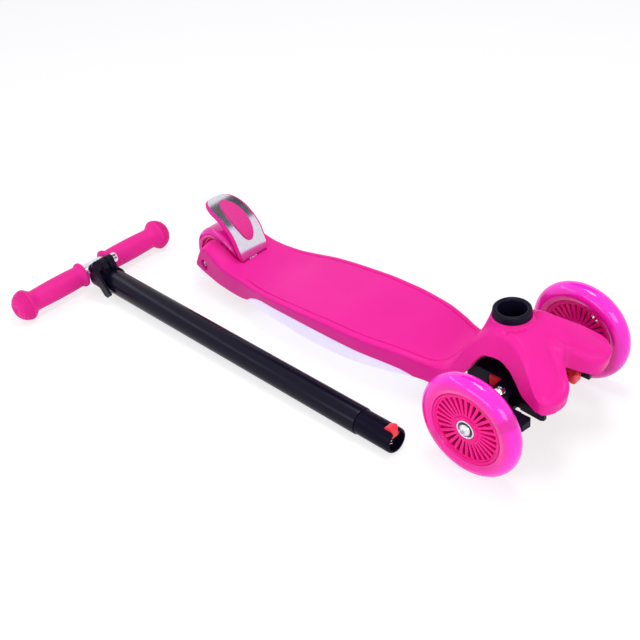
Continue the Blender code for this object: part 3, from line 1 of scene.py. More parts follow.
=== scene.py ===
"""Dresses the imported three-wheel kick scooter: finer pieces, materials, floor, lamps and camera.

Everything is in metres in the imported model's frame. Pieces of the deck are written from a datum on the
floor under the middle of the front axle (+X forward, +Y left), pieces of the T-bar from the point where
its stem and handlebar meet (+X down the column, +Y along the handlebar).
"""

from math import asin, cos, pi, radians, sin, sqrt

import bmesh
import bpy
import numpy as np
from bpy.props import FloatProperty, FloatVectorProperty, IntProperty, PointerProperty
from mathutils import Euler, Matrix, Vector


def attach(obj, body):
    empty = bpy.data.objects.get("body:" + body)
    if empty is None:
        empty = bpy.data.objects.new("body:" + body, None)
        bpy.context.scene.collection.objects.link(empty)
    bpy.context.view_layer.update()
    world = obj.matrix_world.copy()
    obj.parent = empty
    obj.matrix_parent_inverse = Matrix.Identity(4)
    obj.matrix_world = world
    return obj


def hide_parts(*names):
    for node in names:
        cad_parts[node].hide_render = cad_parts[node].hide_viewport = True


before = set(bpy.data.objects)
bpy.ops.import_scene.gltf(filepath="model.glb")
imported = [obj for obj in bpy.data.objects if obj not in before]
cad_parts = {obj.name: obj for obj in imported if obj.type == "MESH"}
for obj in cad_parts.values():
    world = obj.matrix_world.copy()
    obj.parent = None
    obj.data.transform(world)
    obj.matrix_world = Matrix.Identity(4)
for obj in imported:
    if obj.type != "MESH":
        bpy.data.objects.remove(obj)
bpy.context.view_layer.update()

bl_info = {
    "name": "Three-wheel kick scooter",
    "version": (1, 0, 0),
    "blender": (4, 5, 0),
    "location": "3D View > Sidebar > Scooter",
    "description": "Builds the visible pieces and finishes of a lean-steer scooter over its CAD frame",
    "category": "Object",
}

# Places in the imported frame
DECK_DATUM = Vector((0.28852, 0.0645, 0.0))
TBAR_DATUM = Vector((-0.33458, -0.0548, 0.021))

SIDES = (("left", 1), ("right", -1))
GAP = 0.0003
RUNNING_GAP = 0.0006
TRIM = 0.002

# Deck and steering, from the deck's datum
WHEELBASE = 0.479
TRACK = 0.200
KINGPIN_Y = 0.052
STEER_ARM = 0.030
WHEEL_BOLT_TIP = 0.013
COLUMN_X = -0.022
LEAN_HEIGHT = 0.112
SEAT_RADIUS = 0.0275
COLLAR_TOP = 0.1385
SOCKET_FLOOR = 0.084
FINGER_BALL = 0.0475
BRIDGE_BOLTS = ((-0.052, 0.014), (0.008, 0.018))
EAR_TOP = 0.072
REAR_BEAM_BOTTOM = 0.0535
FRONT_BEAM_BOTTOM = 0.044
ARM_BOTTOM = 0.0435
ARM_DEPTH = 0.008
ROD_DEPTH = 0.006
PANEL_REAR = 0.088 - WHEELBASE
PANEL_FRONT = -0.120

# Rear fork and brake
FORK_INNER = 0.0225
FORK_OUTER = 0.0425
CHEEK_WALL = 0.004
NUT_RECESS = 0.0095
AXLE_HOLE = 0.0043
WELL_FRONT = 0.058 - WHEELBASE
BRAKE_HINGE = Vector((0.052 - WHEELBASE, 0.0, 0.048))
BRAKE_PIN_HOLE = 0.0028
BRAKE_FOOT_HALF = FORK_INNER - 2 * RUNNING_GAP
BRAKE_HALF_WIDTH = 0.025
BRAKE_LENGTH = 0.095
BRAKE_FOOT_END = 0.125
BRAKE_TIP_START = 0.60

# Wheels
CORE_HALF = 0.010
BEARING_BORE = 0.0043
BEARING_OUTER = 0.0107
BEARING_WIDTH = 0.007

# T-bar, from its own datum
BELL_RADIUS = 0.021
COLUMN_RADIUS = 0.0159
COLUMN_WALL = 0.0013
COLUMN_START = 0.0195
COLUMN_END = 0.497
PLUG_RADIUS = 0.0148
PLUG_BORE = 0.0115
PLUG_END = 0.547
CATCH_X = 0.5355
CLAMP_X = 0.035
STEM_END = 0.290
BAR_HALF = 0.1175
GRIP_START = 0.018
GRIP_END = 0.124
TBAR_TILT = asin((BELL_RADIUS - COLUMN_RADIUS) / COLUMN_END)
TBAR_YAW = radians(-0.9)
TBAR = Matrix.Translation(TBAR_DATUM) @ Euler((0, TBAR_TILT, TBAR_YAW)).to_matrix().to_4x4()
ALONG_X = Matrix.Rotation(pi / 2, 4, "Y")
ALONG_Y = Matrix.Rotation(-pi / 2, 4, "X")

# The deck's outline: (place, value) points for the fork from the rear axle, for the standing deck in shares
# of the light panel's length, and for the head from the front axle
RIDGE_Y = (
    ((-0.019, 0.0385), (0.007, 0.0415), (0.039, 0.046), (0.059, 0.0472)),
    ((0.0037, 0.0505), (0.1144, 0.0559), (0.2251, 0.0597), (0.3727, 0.0618), (0.5203, 0.0626),
     (0.7048, 0.062), (0.8524, 0.0578), (1.000, 0.050)),
    ((-0.100, 0.0445), (-0.086, 0.040), (-0.066, 0.035), (-0.048, 0.030), (-0.034, 0.027),
     (-0.018, 0.0275), (0.006, 0.033), (0.019, 0.040), (0.037, 0.052), (0.050, 0.062), (0.062, 0.0645)),
)
RIDGE_Z = (
    ((-0.019, 0.037), (-0.010, 0.054), (-0.001, 0.063), (0.007, 0.067), (0.019, 0.062), (0.039, 0.054),
     (0.055, 0.0515)),
    ((0.0037, 0.0505), (0.1144, 0.052), (0.2251, 0.0555), (0.3358, 0.058), (0.4834, 0.0605),
     (0.5867, 0.062), (0.8967, 0.062), (1.000, 0.059)),
    ((-0.100, 0.0562), (-0.088, 0.0565), (-0.076, 0.062), (-0.066, 0.077), (-0.058, 0.092),
     (-0.048, 0.105), (-0.034, 0.118), (-0.018, 0.125), (-0.006, 0.1275), (0.006, 0.125), (0.019, 0.120),
     (0.037, 0.110), (0.050, 0.100), (0.062, 0.092)),
)
CENTRE_Z = (
    ((-0.019, 0.038), (-0.010, 0.060), (-0.001, 0.070), (0.007, 0.074), (0.017, 0.072), (0.031, 0.0655),
     (0.045, 0.057), (0.055, 0.0545), (0.079, 0.052)),
    ((0.0406, 0.0512), (0.1144, 0.052), (0.2251, 0.0555), (0.3358, 0.058), (0.4834, 0.0605),
     (0.5867, 0.062), (0.8967, 0.062), (1.000, 0.0592)),
    ((-0.100, 0.057), (-0.088, 0.058), (-0.076, 0.064), (-0.066, 0.080), (-0.058, 0.096), (-0.048, 0.108),
     (-0.036, 0.119), (-0.025, 0.126), (0.0, 0.1275), (0.019, 0.1225), (0.043, 0.116)),
)
EDGE_Y = (
    ((-0.019, 0.0385), (0.007, 0.0415), (0.039, 0.0445)),
    ((0.0037, 0.049), (0.2251, 0.0577), (0.5203, 0.0606), (0.7048, 0.060), (0.8524, 0.056), (1.000, 0.0485)),
    ((-0.100, 0.0455), (-0.075, 0.0465), (-0.047, 0.044), (-0.030, 0.040), (-0.010, 0.0405),
     (0.005, 0.0445), (0.018, 0.051), (0.033, 0.0595), (0.050, 0.0625)),
)
EDGE_Z = (
    ((-0.019, 0.032), (-0.010, 0.029), (0.009, 0.0255), (0.029, 0.022), (0.059, 0.021), (0.086, 0.0235)),
    ((0.0185, 0.029), (0.0627, 0.0345), (0.1181, 0.039), (0.203, 0.041), (0.4059, 0.042), (0.6458, 0.0405),
     (0.8561, 0.039), (0.9483, 0.036)),
    ((-0.119, 0.0315), (-0.101, 0.031), (-0.090, 0.033), (-0.075, 0.0435), (-0.060, 0.0585),
     (-0.047, 0.0745), (-0.038, 0.0885), (-0.030, 0.097), (-0.010, 0.101), (0.005, 0.098), (0.018, 0.0925),
     (0.033, 0.086), (0.050, 0.0775)),
)
BOTTOM_Z = ((), ((0.0, 0.0225), (0.2546, 0.022), (0.3875, 0.020), (0.5129, 0.0195), (0.631, 0.020),
                 (0.7454, 0.0227), (0.941, 0.0275), (1.0037, 0.0295)), ())
NOTCH = ((0.0, 0.0), (0.005, 0.001), (0.009, 0.003), (0.013, 0.007), (0.017, 0.012), (0.021, 0.017),
         (0.025, 0.0215), (0.030, 0.0245), (0.038, 0.026), (0.046, 0.0255), (0.053, 0.0225),
         (0.0597, 0.017), (0.0647, 0.0155))
FRONT_Z = ((0.0, 0.116), (0.005, 0.115), (0.011, 0.110), (0.017, 0.105), (0.021, 0.100), (0.025, 0.0965),
           (0.030, 0.094), (0.038, 0.092), (0.046, 0.0915), (0.053, 0.092), (0.066, 0.092))
FRONT_BOTTOM = ((0.0, 0.091), (0.010, 0.086), (0.021, 0.079), (0.030, 0.0745), (0.038, 0.0735),
                (0.045, 0.0735), (0.055, 0.0745), (0.066, 0.078))
# Where the head's recessed band begins, as a distance behind its front crest, by distance from the middle
BAND = ((0.0, 0.0225), (0.010, 0.020), (0.020, 0.0175), (0.033, 0.0145), (0.044, 0.012), (0.052, 0.011))
CHEEK_OUTLINE = ((-0.013, 0.032), (-0.010, 0.0305), (0.009, 0.027), (0.029, 0.0235), (0.066, 0.0225),
                 (0.066, 0.0495), (0.055, 0.0515), (0.043, 0.0555), (0.031, 0.0625), (0.017, 0.069),
                 (0.006, 0.071), (-0.004, 0.065), (-0.011, 0.055))
BRAKE_SIDE = ((0.0005, 0.007), (0.0, 0.017), (-0.004, 0.027), (-0.008, 0.037), (-0.016, 0.047),
              (-0.028, 0.056), (-0.042, 0.062), (-0.055, 0.0655), (-0.065, 0.0655))

# The deck's surface: its top is sampled at shares of its width and then at distances from its ridge, where
# the border groove runs, and goes on over a rounded corner and down the side wall
BORDER_FRONT = -0.0845
BORDER_BEND = 0.014
TOP_SHARES = tuple(np.linspace(0, 1, 27))
GROOVE_INSETS = (0.0090, 0.0084, 0.0080, 0.0076, 0.0070, 0.0060, 0.005)
TOP_COLUMNS = len(TOP_SHARES) + len(GROOVE_INSETS)
TOP_EDGE = 0.0095
CORNER = 0.005
CORNER_STEPS = 6
WALL_STEPS = 6
WALL_TUCK = 0.004
NOTCH_CENTRE = 0.043
NOTCH_STEPS = 38
BOSS_TOP = 0.1276
BOSS_RADIUS = 0.0222
BOSS_SLOPE = 2.4
BOSS_REACH = 0.038
SWEEP_RADIUS = 0.0270
SWEEP_EDGE = 0.0248
SWEEP_NEAR = 0.012
SWEEP_FAR = 0.032
SWEEP_RISE = 0.004


# ---------------------------------------------------------------------------------------------
# Sizes and colours
# ---------------------------------------------------------------------------------------------

def size(name, description, default):
    """A length in metres."""
    return FloatProperty(name=name, description=description, default=default, min=0.0, subtype="DISTANCE",
                         unit="LENGTH", precision=5)


def finish_colour(name, description, default):
    """A linear colour."""
    return FloatVectorProperty(name=name, description=description, default=default, size=3, subtype="COLOR",
                               min=0.0, max=1.0)


class ScooterSizes(bpy.types.PropertyGroup):
    """Lengths and counts that the visible pieces are built from"""
    shell_wall: size("Shell wall", "Thickness of the moulded deck shell", 0.0035)
    border_inset: size("Border groove inset", "Distance of the fine groove from the deck's edge", 0.008)
    border_depth: size("Border groove depth", "Depth of the fine groove along the deck's edge", 0.0017)
    band_depth: size("Front band depth", "Depth of the band round the head's notch", 0.0013)
    front_radius: size("Front wheel radius", "Radius of the front tyres at the tread", 0.060)
    front_width: size("Front tyre width", "Width of the front tyres", 0.024)
    rear_radius: size("Rear wheel radius", "Radius of the rear tyre at the tread", 0.040)
    rear_width: size("Rear tyre width", "Width of the rear tyre", 0.038)
    slot_width: size("Spoke slot width", "Width of a spoke slot at its outer end", 0.0040)
    spoke_count: IntProperty(name="Spokes", description="Spoke slots in each front wheel", default=30, min=6)
    brake_wall: size("Brake wall", "Thickness of the foot brake's moulding", 0.003)
    plate_wall: size("Brake plate wall", "Thickness of the metal plate on the foot brake", 0.0012)
    grip_radius: size("Grip radius", "Radius of the handlebar grips at their waist", 0.0145)
    bar_radius: size("Handlebar radius", "Outer radius of the handlebar", 0.011)
    stem_radius: size("Stem radius", "Outer radius of the sliding stem", 0.0141)


class ScooterColours(bpy.types.PropertyGroup):
    """Colours that the finishes start from"""
    shell: finish_colour("Shell", "Pink of the moulded deck and brake", (0.84, 0.016, 0.325))
    rubber: finish_colour("Rubber", "Pink of the grips and the brake pad", (0.82, 0.014, 0.290))
    tyre: finish_colour("Tyre tread", "Magenta of the tyres at the tread", (0.95, 0.016, 0.62))
    tyre_inner: finish_colour("Tyre bore", "Pink of the tyres near their cores", (0.92, 0.007, 0.36))
    core: finish_colour("Wheel core", "Pink of the spoked wheel cores", (0.90, 0.005, 0.26))
    black: finish_colour("Black plastic", "Violet black of the bridge, knuckles and collar",
                         (0.0060, 0.0042, 0.0160))
    paint: finish_colour("Column paint", "Blue black of the column's paint", (0.0040, 0.0028, 0.0120))
    red: finish_colour("Red plastic", "Red of the tie rod, stops and catch", (0.90, 0.020, 0.045))
    light: finish_colour("Light panel", "Lavender white of the light panel", (0.74, 0.68, 1.0))
    metal: finish_colour("Metal", "Silver of the plated and bare metal", (0.80, 0.79, 0.86))


# ---------------------------------------------------------------------------------------------
# Materials
# ---------------------------------------------------------------------------------------------

COLOUR, NUMBER = "NodeSocketColor", "NodeSocketFloat"


def new_group(name, inputs, outputs):
    """A shader node group with (name, kind, default) inputs and (name, kind) outputs."""
    group = bpy.data.node_groups.new(name, "ShaderNodeTree")
    for label, kind, default in inputs:
        socket = group.interface.new_socket(label, in_out="INPUT", socket_type=kind)
        socket.default_value = default
    for label, kind in outputs:
        group.interface.new_socket(label, in_out="OUTPUT", socket_type=kind)
    return group, group.nodes.new("NodeGroupInput"), group.nodes.new("NodeGroupOutput")


def feed(tree, socket, value):
    """Links a socket to a node's output, or sets it to a number or a (red, green, blue) colour."""
    if isinstance(value, bpy.types.NodeSocket):
        tree.links.new(value, socket)
    elif isinstance(value, (int, float)):
        socket.default_value = value
    else:
        socket.default_value = (*value, 1)


def math_node(tree, operation, *values):
    """The result of an operation on sockets and numbers."""
    node = tree.nodes.new("ShaderNodeMath")
    node.operation = operation
    for socket, value in zip(node.inputs, values):
        feed(tree, socket, value)
    return node.outputs[0]


def noise_node(tree, vector, scale, detail=2.0, roughness=0.5):
    """The value of a noise texture."""
    node = tree.nodes.new("ShaderNodeTexNoise")
    for label, value in (("Vector", vector), ("Scale", scale), ("Detail", detail), ("Roughness", roughness)):
        feed(tree, node.inputs[label], value)
    return node.outputs["Fac"]


def span_node(tree, value, low, high, to_low=0.0, to_high=1.0, eased=False):
    """Maps values from low to high onto those from to_low to to_high, and holds them there."""
    node = tree.nodes.new("ShaderNodeMapRange")
    node.interpolation_type = "SMOOTHSTEP" if eased else "LINEAR"
    tree.links.new(value, node.inputs["Value"])
    for label, number in (("From Min", low), ("From Max", high), ("To Min", to_low), ("To Max", to_high)):
        node.inputs[label].default_value = number
    return node.outputs["Result"]


def blend_node(tree, factor, first, second):
    """Mixes two colours."""
    node = tree.nodes.new("ShaderNodeMix")
    node.data_type = "RGBA"
    colours = [socket for socket in node.inputs if socket.type == "RGBA"]
    for socket, value in zip((node.inputs[0], *colours), (factor, first, second)):
        feed(tree, socket, value)
    return next(socket for socket in node.outputs if socket.type == "RGBA")


def object_coords(tree):
    """The piece's own coordinates, in metres."""
    return tree.nodes.new("ShaderNodeTexCoord").outputs["Object"]


def axle_distance(tree, coords):
    """The distance from the piece's Z axis, and the X and Y that it comes from."""
    apart = tree.nodes.new("ShaderNodeSeparateXYZ")
    tree.links.new(coords, apart.inputs[0])
    x, y, _ = apart.outputs
    square = math_node(tree, "ADD", math_node(tree, "MULTIPLY", x, x), math_node(tree, "MULTIPLY", y, y))
    return math_node(tree, "SQRT", square), x, y


def seen_directly(tree):
    """1 for rays from the camera, out of a gloss or through a clear piece, and 0 for the light that falls."""
    path = tree.nodes.new("ShaderNodeLightPath")
    direct = math_node(tree, "MAXIMUM", path.outputs["Is Camera Ray"], path.outputs["Is Transmission Ray"])
    return math_node(tree, "MAXIMUM", direct, path.outputs["Is Glossy Ray"])


def grain_group():
    """Moulded grain: a fine matt texture, slow colour changes of the melt, and polished or dusty patches."""
    group, given, result = new_group(
        "moulded_grain",
        [("Colour", COLOUR, (0.8, 0.8, 0.8, 1)), ("Shade", COLOUR, (0.5, 0.5, 0.5, 1)),
         ("Roughness", NUMBER, 0.4), ("Grain Scale", NUMBER, 2200.0), ("Patch Scale", NUMBER, 14.0),
         ("Variation", NUMBER, 0.25)],
        [("Colour", COLOUR), ("Roughness", NUMBER), ("Height", NUMBER)])
    coords = object_coords(group)
    patches = noise_node(group, coords, given.outputs["Patch Scale"], 3.0, 0.55)
    mask = span_node(group, patches, 0.35, 0.7, eased=True)
    mask = math_node(group, "MULTIPLY", mask, given.outputs["Variation"])
    feed(group, result.inputs["Colour"],
         blend_node(group, mask, given.outputs["Colour"], given.outputs["Shade"]))
    grain = noise_node(group, coords, given.outputs["Grain Scale"], 1.5, 0.6)
    drift = math_node(group, "MULTIPLY_ADD", patches, 0.16, -0.08)
    fine = math_node(group, "MULTIPLY_ADD", grain, 0.06, -0.03)
    dull = math_node(group, "ADD", given.outputs["Roughness"], drift)
    feed(group, result.inputs["Roughness"], math_node(group, "ADD", dull, fine))
    feed(group, result.inputs["Height"], grain)


def scuff_group():
    """Scuffs: short fine scratches in two directions, gathered in places, as a mask."""
    group, given, result = new_group(
        "scuffs", [("Scale", NUMBER, 60.0), ("Amount", NUMBER, 0.3)], [("Mask", NUMBER), ("Height", NUMBER)])
    coords = object_coords(group)
    masks = []
    for turn, stretch in ((0.5, (1.0, 14.0, 6.0)), (-0.9, (12.0, 1.0, 5.0))):
        mapping = group.nodes.new("ShaderNodeMapping")
        mapping.inputs["Rotation"].default_value = (0.2, 0.1, turn)
        mapping.inputs["Scale"].default_value = stretch
        feed(group, mapping.inputs["Vector"], coords)
        lines = noise_node(group, mapping.outputs["Vector"], given.outputs["Scale"], 3.0, 0.7)
        masks.append(span_node(group, lines, 0.66, 0.74))
    place = span_node(group, noise_node(group, coords, 22.0), 0.45, 0.65, eased=True)
    both = math_node(group, "MULTIPLY", math_node(group, "MAXIMUM", *masks), place)
    mask = math_node(group, "MULTIPLY", both, given.outputs["Amount"])
    feed(group, result.inputs["Mask"], mask)
    feed(group, result.inputs["Height"], math_node(group, "MULTIPLY", mask, -1.0))


def brushing_group():
    """Brushed metal: long parallel strokes along one axis."""
    group, given, result = new_group(
        "brushing",
        [("Stretch", "NodeSocketVector", (1.0, 40.0, 40.0)), ("Colour", COLOUR, (0.8, 0.8, 0.8, 1)),
         ("Shade", COLOUR, (0.5, 0.5, 0.55, 1)), ("Roughness", NUMBER, 0.3), ("Depth", NUMBER, 0.5)],
        [("Colour", COLOUR), ("Roughness", NUMBER), ("Height", NUMBER)])
    coords = object_coords(group)
    stretch = group.nodes.new("ShaderNodeVectorMath")
    stretch.operation = "MULTIPLY"
    feed(group, stretch.inputs[0], coords)
    feed(group, stretch.inputs[1], given.outputs["Stretch"])
    strokes = noise_node(group, stretch.outputs["Vector"], 60.0, 4.0, 0.65)
    cloud = noise_node(group, coords, 40.0)
    mask = math_node(group, "MULTIPLY", span_node(group, strokes, 0.35, 0.7), given.outputs["Depth"])
    feed(group, result.inputs["Colour"],
         blend_node(group, mask, given.outputs["Colour"], given.outputs["Shade"]))
    rough = math_node(group, "MULTIPLY_ADD", strokes, 0.16, -0.08)
    rough = math_node(group, "ADD", rough, math_node(group, "MULTIPLY_ADD", cloud, 0.10, -0.05))
    feed(group, result.inputs["Roughness"], math_node(group, "ADD", rough, given.outputs["Roughness"]))
    feed(group, result.inputs["Height"], strokes)


def new_material(name):
    """A material's tree, its shader and a function that drops a shared effect into it."""
    material = bpy.data.materials.new(f"{name}_finish")
    material.use_nodes = True
    tree = material.node_tree

    def place(effect, **values):
        node = tree.nodes.new("ShaderNodeGroup")
        node.node_tree = bpy.data.node_groups[effect]
        for label, value in values.items():
            socket = node.inputs[label.replace("_", " ")]
            socket.default_value = (*value, 1) if socket.type == "RGBA" else value
        return node

    return tree, tree.nodes["Principled BSDF"], place


def made_material(name):
    """A material that new_material has made."""
    return bpy.data.materials[f"{name}_finish"]


def bump(tree, shader, height, strength, distance):
    """Gives the shader a relief."""
    node = tree.nodes.new("ShaderNodeBump")
    node.inputs["Strength"].default_value = strength
    node.inputs["Distance"].default_value = distance
    tree.links.new(height, node.inputs["Height"])
    tree.links.new(node.outputs["Normal"], shader.inputs["Normal"])


def scatter_light(shader, weight, radius):
    """Lets a share of the light into the material, as far as a radius per colour in metres."""
    shader.inputs["Subsurface Weight"].default_value = weight
    shader.inputs["Subsurface Radius"].default_value = radius
    shader.inputs["Subsurface Scale"].default_value = 1.0


def wear(tree, shader, body, marks, dulling, strength, distance):
    """Gives the shader the colour, roughness and relief of a body, dulled and scratched by its marks."""
    tree.links.new(body.outputs["Colour"], shader.inputs["Base Color"])
    dull = math_node(tree, "MULTIPLY", marks.outputs["Mask"], dulling)
    tree.links.new(math_node(tree, "ADD", body.outputs["Roughness"], dull), shader.inputs["Roughness"])
    height = math_node(tree, "ADD", body.outputs["Height"], marks.outputs["Height"])
    bump(tree, shader, height, strength, distance)


def shade_of(colour, amount):
    """A darker shade of a colour."""
    return tuple(channel * amount for channel in colour)


def moulded(name, colour, shade, roughness, grain=2200.0, depth=0.00003, variation=0.3, scuff=0.15,
            patch=14.0, specular=0.5):
    """A moulded plastic or rubber finish."""
    tree, shader, place = new_material(name)
    body = place("moulded_grain", Colour=colour, Shade=shade, Roughness=roughness, Grain_Scale=grain,
                 Patch_Scale=patch, Variation=variation)
    wear(tree, shader, body, place("scuffs", Scale=40.0, Amount=scuff), 0.25, 0.35, depth)
    shader.inputs["Specular IOR Level"].default_value = specular
    return tree, shader


def brushed(name, colour, shade, roughness, stretch, depth):
    """A bare or plated metal finish."""
    tree, shader, place = new_material(name)
    body = place("brushing", Stretch=stretch, Colour=colour, Shade=shade, Roughness=roughness, Depth=depth)
    wear(tree, shader, body, place("scuffs", Scale=70.0, Amount=0.25), 0.2, 0.25, 0.00004)
    shader.inputs["Metallic"].default_value = 1.0


def tyre_finish(name, inner, outer, colours, tread):
    """Clear cast urethane: pink near the core, magenta at the tread, with two darker patches across it that
    are painted reflections of the parts beside the tyre.
    """
    tree, shader, place = new_material(name)
    coords = object_coords(tree)
    reach, x, y = axle_distance(tree, coords)
    cloud = noise_node(tree, coords, 14.0, 1.0)
    wobble = math_node(tree, "MULTIPLY_ADD", cloud, 0.010, -0.005)
    rise = span_node(tree, math_node(tree, "ADD", reach, wobble), inner, outer, 0.0, tread, eased=True)
    angle = math_node(tree, "ARCTAN2", y, x)
    base = blend_node(tree, rise, colours.tyre_inner, colours.tyre)
    # Painted reflection: two darker patches at fixed angles round the axle stand in for the parts beside the
    # tyre mirrored in it.
    for turn in (0.55, -2.5):
        away = math_node(tree, "ABSOLUTE", math_node(tree, "SUBTRACT", angle, turn))
        away = math_node(tree, "ADD", away, math_node(tree, "MULTIPLY_ADD", cloud, 0.2, -0.1))
        reflection_patch = span_node(tree, away, 0.06, 0.15, 0.6, 0.0, eased=True)
        base = blend_node(tree, reflection_patch, base, shade_of(colours.tyre_inner, 0.72))
    tree.links.new(base, shader.inputs["Base Color"])
    marks = place("scuffs", Scale=50.0, Amount=0.25)
    rough = math_node(tree, "MULTIPLY_ADD", marks.outputs["Mask"], 0.3, 0.09)
    rough = math_node(tree, "ADD", rough, math_node(tree, "MULTIPLY", cloud, 0.04))
    tree.links.new(rough, shader.inputs["Roughness"])
    bump(tree, shader, marks.outputs["Height"], 0.1, 0.00002)
    scatter_light(shader, 0.25, (0.010, 0.001, 0.006))
    shader.inputs["Specular IOR Level"].default_value = 0.35
    shader.inputs["Coat Weight"].default_value = 0.2
    shader.inputs["Coat Roughness"].default_value = 0.03


def dimple_bump(tree):
    """Adds small round dimples to a finish's bump."""
    dots = tree.nodes.new("ShaderNodeTexVoronoi")
    dots.inputs["Scale"].default_value = 170.0
    tree.links.new(object_coords(tree), dots.inputs["Vector"])
    sunk = span_node(tree, dots.outputs["Distance"], 0.16, 0.32, -5.0, 0.0, eased=True)
    relief = next(node for node in tree.nodes if node.type == "BUMP").inputs["Height"]
    tree.links.new(math_node(tree, "ADD", relief.links[0].from_socket, sunk), relief)


def bearing_finish(metal):
    """Ground steel rings with a dark rubber seal sunk between them."""
    tree, shader, place = new_material("sealed_bearing")
    body = place("brushing", Stretch=(30.0, 30.0, 3.0), Colour=metal, Shade=(0.45, 0.44, 0.52),
                 Roughness=0.18, Depth=0.3)
    rubber = place("moulded_grain", Colour=(0.03, 0.028, 0.04), Shade=(0.06, 0.055, 0.075), Roughness=0.5,
                   Grain_Scale=2500.0, Patch_Scale=120.0, Variation=0.5)
    reach, _, _ = axle_distance(tree, object_coords(tree))
    away = math_node(tree, "ABSOLUTE", math_node(tree, "SUBTRACT", reach, 0.00755))
    seal = span_node(tree, away, 0.0013, 0.0015, 1.0, 0.0)
    tree.links.new(blend_node(tree, seal, body.outputs["Colour"], rubber.outputs["Colour"]),
                   shader.inputs["Base Color"])
    tree.links.new(math_node(tree, "SUBTRACT", 1.0, seal), shader.inputs["Metallic"])
    tree.links.new(body.outputs["Roughness"], shader.inputs["Roughness"])
    bump(tree, shader, body.outputs["Height"], 0.2, 0.00003)


def pad_finish(rubber):
    """The brake's pad, moulded with a close field of small studs, with painted shade in the hollows between
    them.
    """
    tree, shader, place = new_material("pad_rubber")
    body = place("moulded_grain", Colour=rubber, Shade=shade_of(rubber, 0.8), Roughness=0.55,
                 Grain_Scale=1600.0, Patch_Scale=30.0, Variation=0.3)
    studs = tree.nodes.new("ShaderNodeTexVoronoi")
    studs.inputs["Scale"].default_value = 520.0
    studs.inputs["Randomness"].default_value = 0.15
    tree.links.new(object_coords(tree), studs.inputs["Vector"])
    dome = span_node(tree, studs.outputs["Distance"], 0.15, 0.5, 1.0, 0.0, eased=True)
    height = math_node(tree, "ADD", dome, math_node(tree, "MULTIPLY", body.outputs["Height"], 0.1))
    # Painted shade: the colour darkens between the studs, where the hollows lie in shade.
    colour = blend_node(tree, math_node(tree, "MULTIPLY_ADD", dome, -0.35, 0.35), body.outputs["Colour"],
                        shade_of(rubber, 0.6))
    tree.links.new(colour, shader.inputs["Base Color"])
    tree.links.new(body.outputs["Roughness"], shader.inputs["Roughness"])
    bump(tree, shader, height, 0.6, 0.0004)


def build_materials(colours):
    """Every finish of the pieces."""
    shell, rubber, core, black, paint, red, light, metal = (
        tuple(getattr(colours, name))
        for name in ("shell", "rubber", "core", "black", "paint", "red", "light", "metal"))
    moulded("shell_pink", shell, shade_of(shell, 0.86), 0.40, scuff=0.10, specular=0.12)
    tree, _ = moulded("grip_rubber", rubber, shade_of(rubber, 0.82), 0.55, 1400.0, 0.00008, specular=0.2)
    dimple_bump(tree)
    pad_finish(rubber)
    _, shader = moulded("core_pink", core, shade_of(core, 0.8), 0.24, 900.0, 0.00002, specular=0.15)
    scatter_light(shader, 0.2, (0.006, 0.001, 0.003))
    tyre_finish("front_tyre", 0.047, 0.058, colours, 1.0)
    tyre_finish("back_tyre", 0.030, 0.042, colours, 0.35)
    moulded("black_plastic", black, (0.0075, 0.0050, 0.0150), 0.34, 1800.0, 0.00001, 0.5, specular=0.1)
    moulded("plug_plastic", paint, (0.007, 0.005, 0.018), 0.26, 700.0, 0.00002, 0.4, specular=0.06)
    moulded("column_paint", paint, (0.006, 0.0045, 0.018), 0.22, 500.0, 0.00001, 0.3, 0.12, specular=0.14)
    moulded("red_plastic", red, shade_of(red, 0.8), 0.34, 1600.0)
    _, shader = moulded("light_panel", light, (0.80, 0.78, 1.0), 0.30, 700.0, 0.00002, 0.5, 0.1, 25.0)
    scatter_light(shader, 0.4, (0.006, 0.006, 0.010))
    # Painted glow: the tray is no lamp, and this weak even emission stands in for light let through it where
    # it lies in shade.
    shader.inputs["Emission Color"].default_value = (0.88, 0.84, 1.0, 1)
    shader.inputs["Emission Strength"].default_value = 0.30
    brushed("bright_steel", metal, (0.45, 0.44, 0.52), 0.20, (30.0, 30.0, 3.0), 0.25)
    brushed("handle_tube", metal, (0.50, 0.49, 0.58), 0.26, (2.0, 30.0, 30.0), 0.35)
    brushed("brake_plate", (0.80, 0.76, 0.86), (0.42, 0.40, 0.50), 0.22, (3.0, 30.0, 3.0), 0.5)
    bearing_finish(metal)


# ---------------------------------------------------------------------------------------------
# Mesh helpers
# ---------------------------------------------------------------------------------------------

SHARP_ANGLE = radians(35.0)


def add_object(name, data):
    """A new object in the scene."""
    obj = bpy.data.objects.new(name, data)
    bpy.context.scene.collection.objects.link(obj)
    return obj


def mesh_of(name, shape):
    """Turns a bmesh into a mesh and frees it."""
    mesh = bpy.data.meshes.new(name)
    shape.to_mesh(mesh)
    shape.free()
    return mesh


def piece(name, shape, finish, place, body, *nodes):
    """Turns a bmesh into a smooth-shaded piece that rides on a body and stands for CAD nodes."""
    bmesh.ops.remove_doubles(shape, verts=shape.verts, dist=1e-7)
    bmesh.ops.recalc_face_normals(shape, faces=shape.faces)
    mesh = mesh_of(name, shape)
    mesh.shade_smooth()
    mesh.set_sharp_from_angle(angle=SHARP_ANGLE)
    mesh.materials.append(made_material(finish))
    obj = add_object(name, mesh)
    obj.matrix_world = place
    bpy.context.view_layer.update()
    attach(obj, body)
    if nodes:
        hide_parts(*nodes)
    return obj


def tool(shape, place):
    """A helper solid for a boolean."""
    bmesh.ops.recalc_face_normals(shape, faces=shape.faces)
    obj = add_object("tool", mesh_of("tool", shape))
    obj.matrix_world = place
    return obj


def apply_modifiers(obj, sharp=SHARP_ANGLE):
    """Replaces a piece's mesh by the result of its modifiers."""
    bpy.context.view_layer.update()
    result = bpy.data.meshes.new_from_object(obj.evaluated_get(bpy.context.evaluated_depsgraph_get()))
    result.name = obj.name
    obj.modifiers.clear()
    obj.data = result
    result.shade_smooth()
    result.set_sharp_from_angle(angle=sharp)


